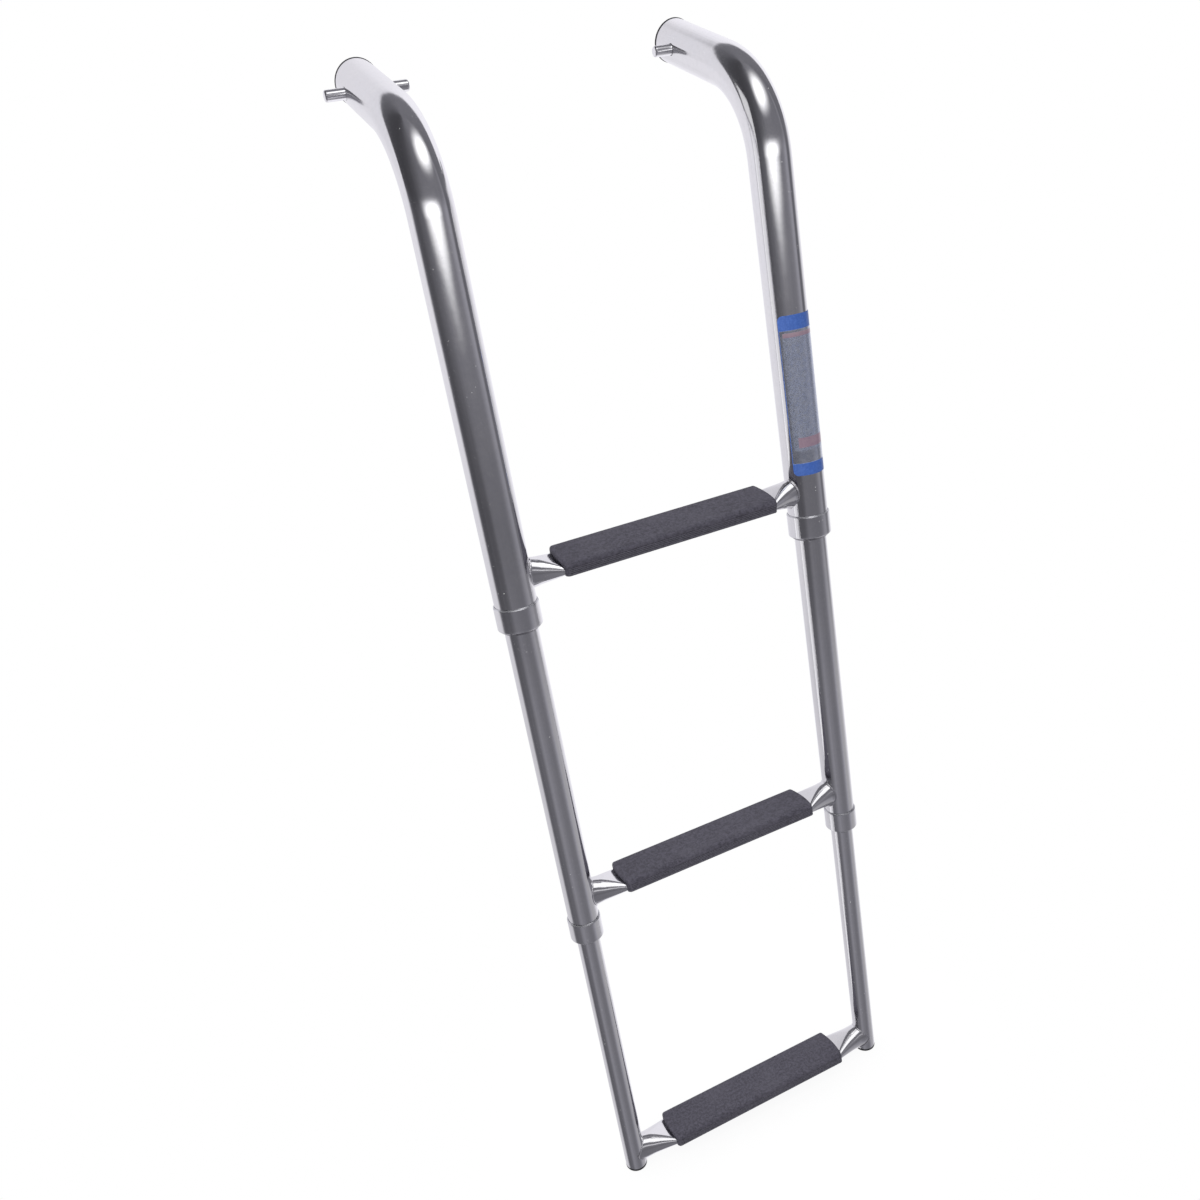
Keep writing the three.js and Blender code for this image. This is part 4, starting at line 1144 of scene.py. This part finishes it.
# studio surroundings: a dim room in front and above, bright sweeps at the sides and behind
world = bpy.data.worlds.new("studio")
bpy.context.scene.world = world
world.use_nodes = True
w = Nodes(world.node_tree)
w_out = w.add("ShaderNodeOutputWorld")
tc = w.add("ShaderNodeTexCoord")
sep = w.add("ShaderNodeSeparateXYZ")
w.link(tc.outputs["Generated"], sep.inputs[0])
dx, dy, dz = sep.outputs
az = w.math("ARCTAN2", dx, w.math("MULTIPLY", dy, -1.0))
fac = w.math("ADD", w.math("DIVIDE", az, 2 * math.pi), 0.5)
el = w.math("MULTIPLY", w.math("ARCSINE", w.math("MINIMUM", w.math("MAXIMUM", dz, -1.0), 1.0)), 180 / math.pi)

GAIN = 1.0 / 0.87
LOW = [(-180, 205), (-150, 200), (-119, 193), (-112, 160), (-106, 108), (-98, 92), (-88, 92), (-80, 96), (-72, 98), (-64, 98), (-57, 108), (-49, 122),
       (-38, 130), (-24, 122), (0, 111), (14, 108), (28, 112), (38, 128), (48, 148), (58, 158), (70, 160), (82, 168),
       (95, 186), (106, 210), (124, 226), (150, 240), (180, 215)]
MID = [(-180, 214), (-150, 212), (-119, 209), (-112, 165), (-106, 92), (-98, 74), (-84, 74), (-76, 78), (-66, 76), (-54, 75), (-46, 84),
       (-37, 99), (-28, 100), (0, 100), (30, 100), (40, 106), (50, 119), (58, 128), (64, 132), (70, 131), (76, 104), (86, 104),
       (93, 130), (98, 165), (107, 205), (122, 224), (150, 240), (180, 220)]
UPP = [(-180, 224), (-150, 222), (-122, 221), (-115, 190), (-109, 112), (-102, 82), (-90, 76), (-80, 80), (-68, 90), (-50, 100),
       (-30, 110), (0, 112), (25, 112), (40, 118), (52, 136), (60, 143), (67, 138), (73, 96), (84, 96), (92, 128),
       (97, 175), (107, 212), (122, 228), (145, 238), (165, 230), (180, 224)]
DARK = [(-180, 104), (-135, 90), (-112, 66), (-90, 62), (-68, 70), (-45, 90), (-25, 104), (0, 108), (60, 110), (66, 128), (72, 100),
        (100, 108), (140, 110), (180, 104)]
LIGHT = [(-180, 218), (-150, 216), (-112, 216), (-60, 216), (60, 236), (90, 236), (140, 238), (165, 226), (180, 218)]
# top of the bright sweep behind and beside the object: elevation by azimuth
BRIM = [(-180, 57), (-150, 52), (-138, 45), (-124, 30), (-118, 20), (-113, 0), (-110, -60), (96, -60), (100, 0), (108, 25),
        (125, 45), (150, 55), (180, 57)]


def az_ramp(table):
    stops = []
    for a, v in table:
        k = lin(v) * GAIN
        stops.append((a / 360.0 + 0.5, (k * 0.985, k * 0.972, k * (1.09 if v < 150 else 1.03), 1.0)))
    return w.ramp(fac, stops)


brim = w.ramp(fac, [(a / 360.0 + 0.5, grey((v + 90.0) / 180.0)) for a, v in BRIM])
above = w.math("SUBTRACT", el, w.math("SUBTRACT", w.math("MULTIPLY", brim, 180.0), 90.0))
high = w.mix(w.smooth(above, 2.5, -2.5), az_ramp(DARK), az_ramp(LIGHT))
col = w.mix(w.smooth(el, -27, -17, kind="LINEAR"), az_ramp(LOW), az_ramp(MID))
col = w.mix(w.smooth(el, -16, -5, kind="LINEAR"), col, az_ramp(UPP))
col = w.mix(w.smooth(el, 3, 16), col, high)

near_el = w.smooth(w.math("ABSOLUTE", w.math("SUBTRACT", el, 9.5)), 7.0, 1.0)
az_deg = w.math("MULTIPLY", az, 180 / math.pi)
near_az = w.smooth(w.math("ABSOLUTE", w.math("ADD", az_deg, 8.0)), 62.0, 6.0)
band = w.math("MULTIPLY", near_el, w.math("POWER", near_az, 1.4))
col = w.mix(w.math("MULTIPLY", band, 0.85), col, (1.0, 0.99, 1.03, 1.0))

lp = w.add("ShaderNodeLightPath")
dome = w.ramp(w.math("ADD", w.math("DIVIDE", el, 180.0), 0.5), [(0.0, grey(0.45)), (0.45, grey(0.5)), (0.62, grey(0.85)), (0.8, grey(1.2)), (1.0, grey(1.2))])
left_fill = w.math("MAXIMUM", w.math("MULTIPLY", dx, -0.9), 0.0)
dome = w.mix(1.0, dome, w.mix(left_fill, (0, 0, 0, 1), grey(1.0)), "ADD")
seen = w.mix(lp.outputs["Is Diffuse Ray"], col, dome)
seen = w.mix(lp.outputs["Is Camera Ray"], seen, (1.0, 1.0, 1.0, 1.0))
bg = w.add("ShaderNodeBackground")
w.link(seen, bg.inputs["Color"])
w.link(bg.outputs[0], w_out.inputs["Surface"])
world.cycles.sampling_method = "NONE"


# floor: a plain pale sweep that fades into the background
def floor_disc():
    rings, n = [0.0, 0.25, 0.5, 0.8, 1.2, 2.0, 4.0, 8.0, 20.0], 96
    verts, faces = [(0, 0, -0.3)], []
    for r in rings[1:]:
        for j in range(n):
            a = 2 * math.pi * j / n
            verts.append((r * 1000 * math.cos(a), r * 1000 * math.sin(a), -0.3))
    for j in range(n):
        faces.append((0, 1 + j, 1 + (j + 1) % n))
    for i in range(len(rings) - 2):
        for j in range(n):
            l = (j + 1) % n
            faces.append((1 + i * n + j, 1 + (i + 1) * n + j, 1 + (i + 1) * n + l, 1 + i * n + l))
    return make_object("floor", verts, faces)


floor = floor_disc()
fm, f = new_material("floor_pale")
f_out = f.add("ShaderNodeOutputMaterial")
diff = f.add("ShaderNodeBsdfDiffuse")
diff.inputs["Color"].default_value = (0.93, 0.93, 0.935, 1)
glow = f.add("ShaderNodeEmission")
glow.inputs["Color"].default_value = (1, 1, 1, 1)
glow.inputs["Strength"].default_value = 1.0
geo = f.add("ShaderNodeNewGeometry")
ln = f.add("ShaderNodeVectorMath", operation="LENGTH")
f.link(geo.outputs["Position"], ln.inputs[0])
fm_mix = f.add("ShaderNodeMixShader")
f.put(fm_mix.inputs[0], f.smooth(ln.outputs["Value"], 0.0, 0.30, 0.88, 1.0))
f.link(diff.outputs[0], fm_mix.inputs[1])
f.link(glow.outputs[0], fm_mix.inputs[2])
f.link(fm_mix.outputs[0], f_out.inputs["Surface"])
floor.data.materials.append(fm)
floor.visible_glossy = False
floor.visible_diffuse = False
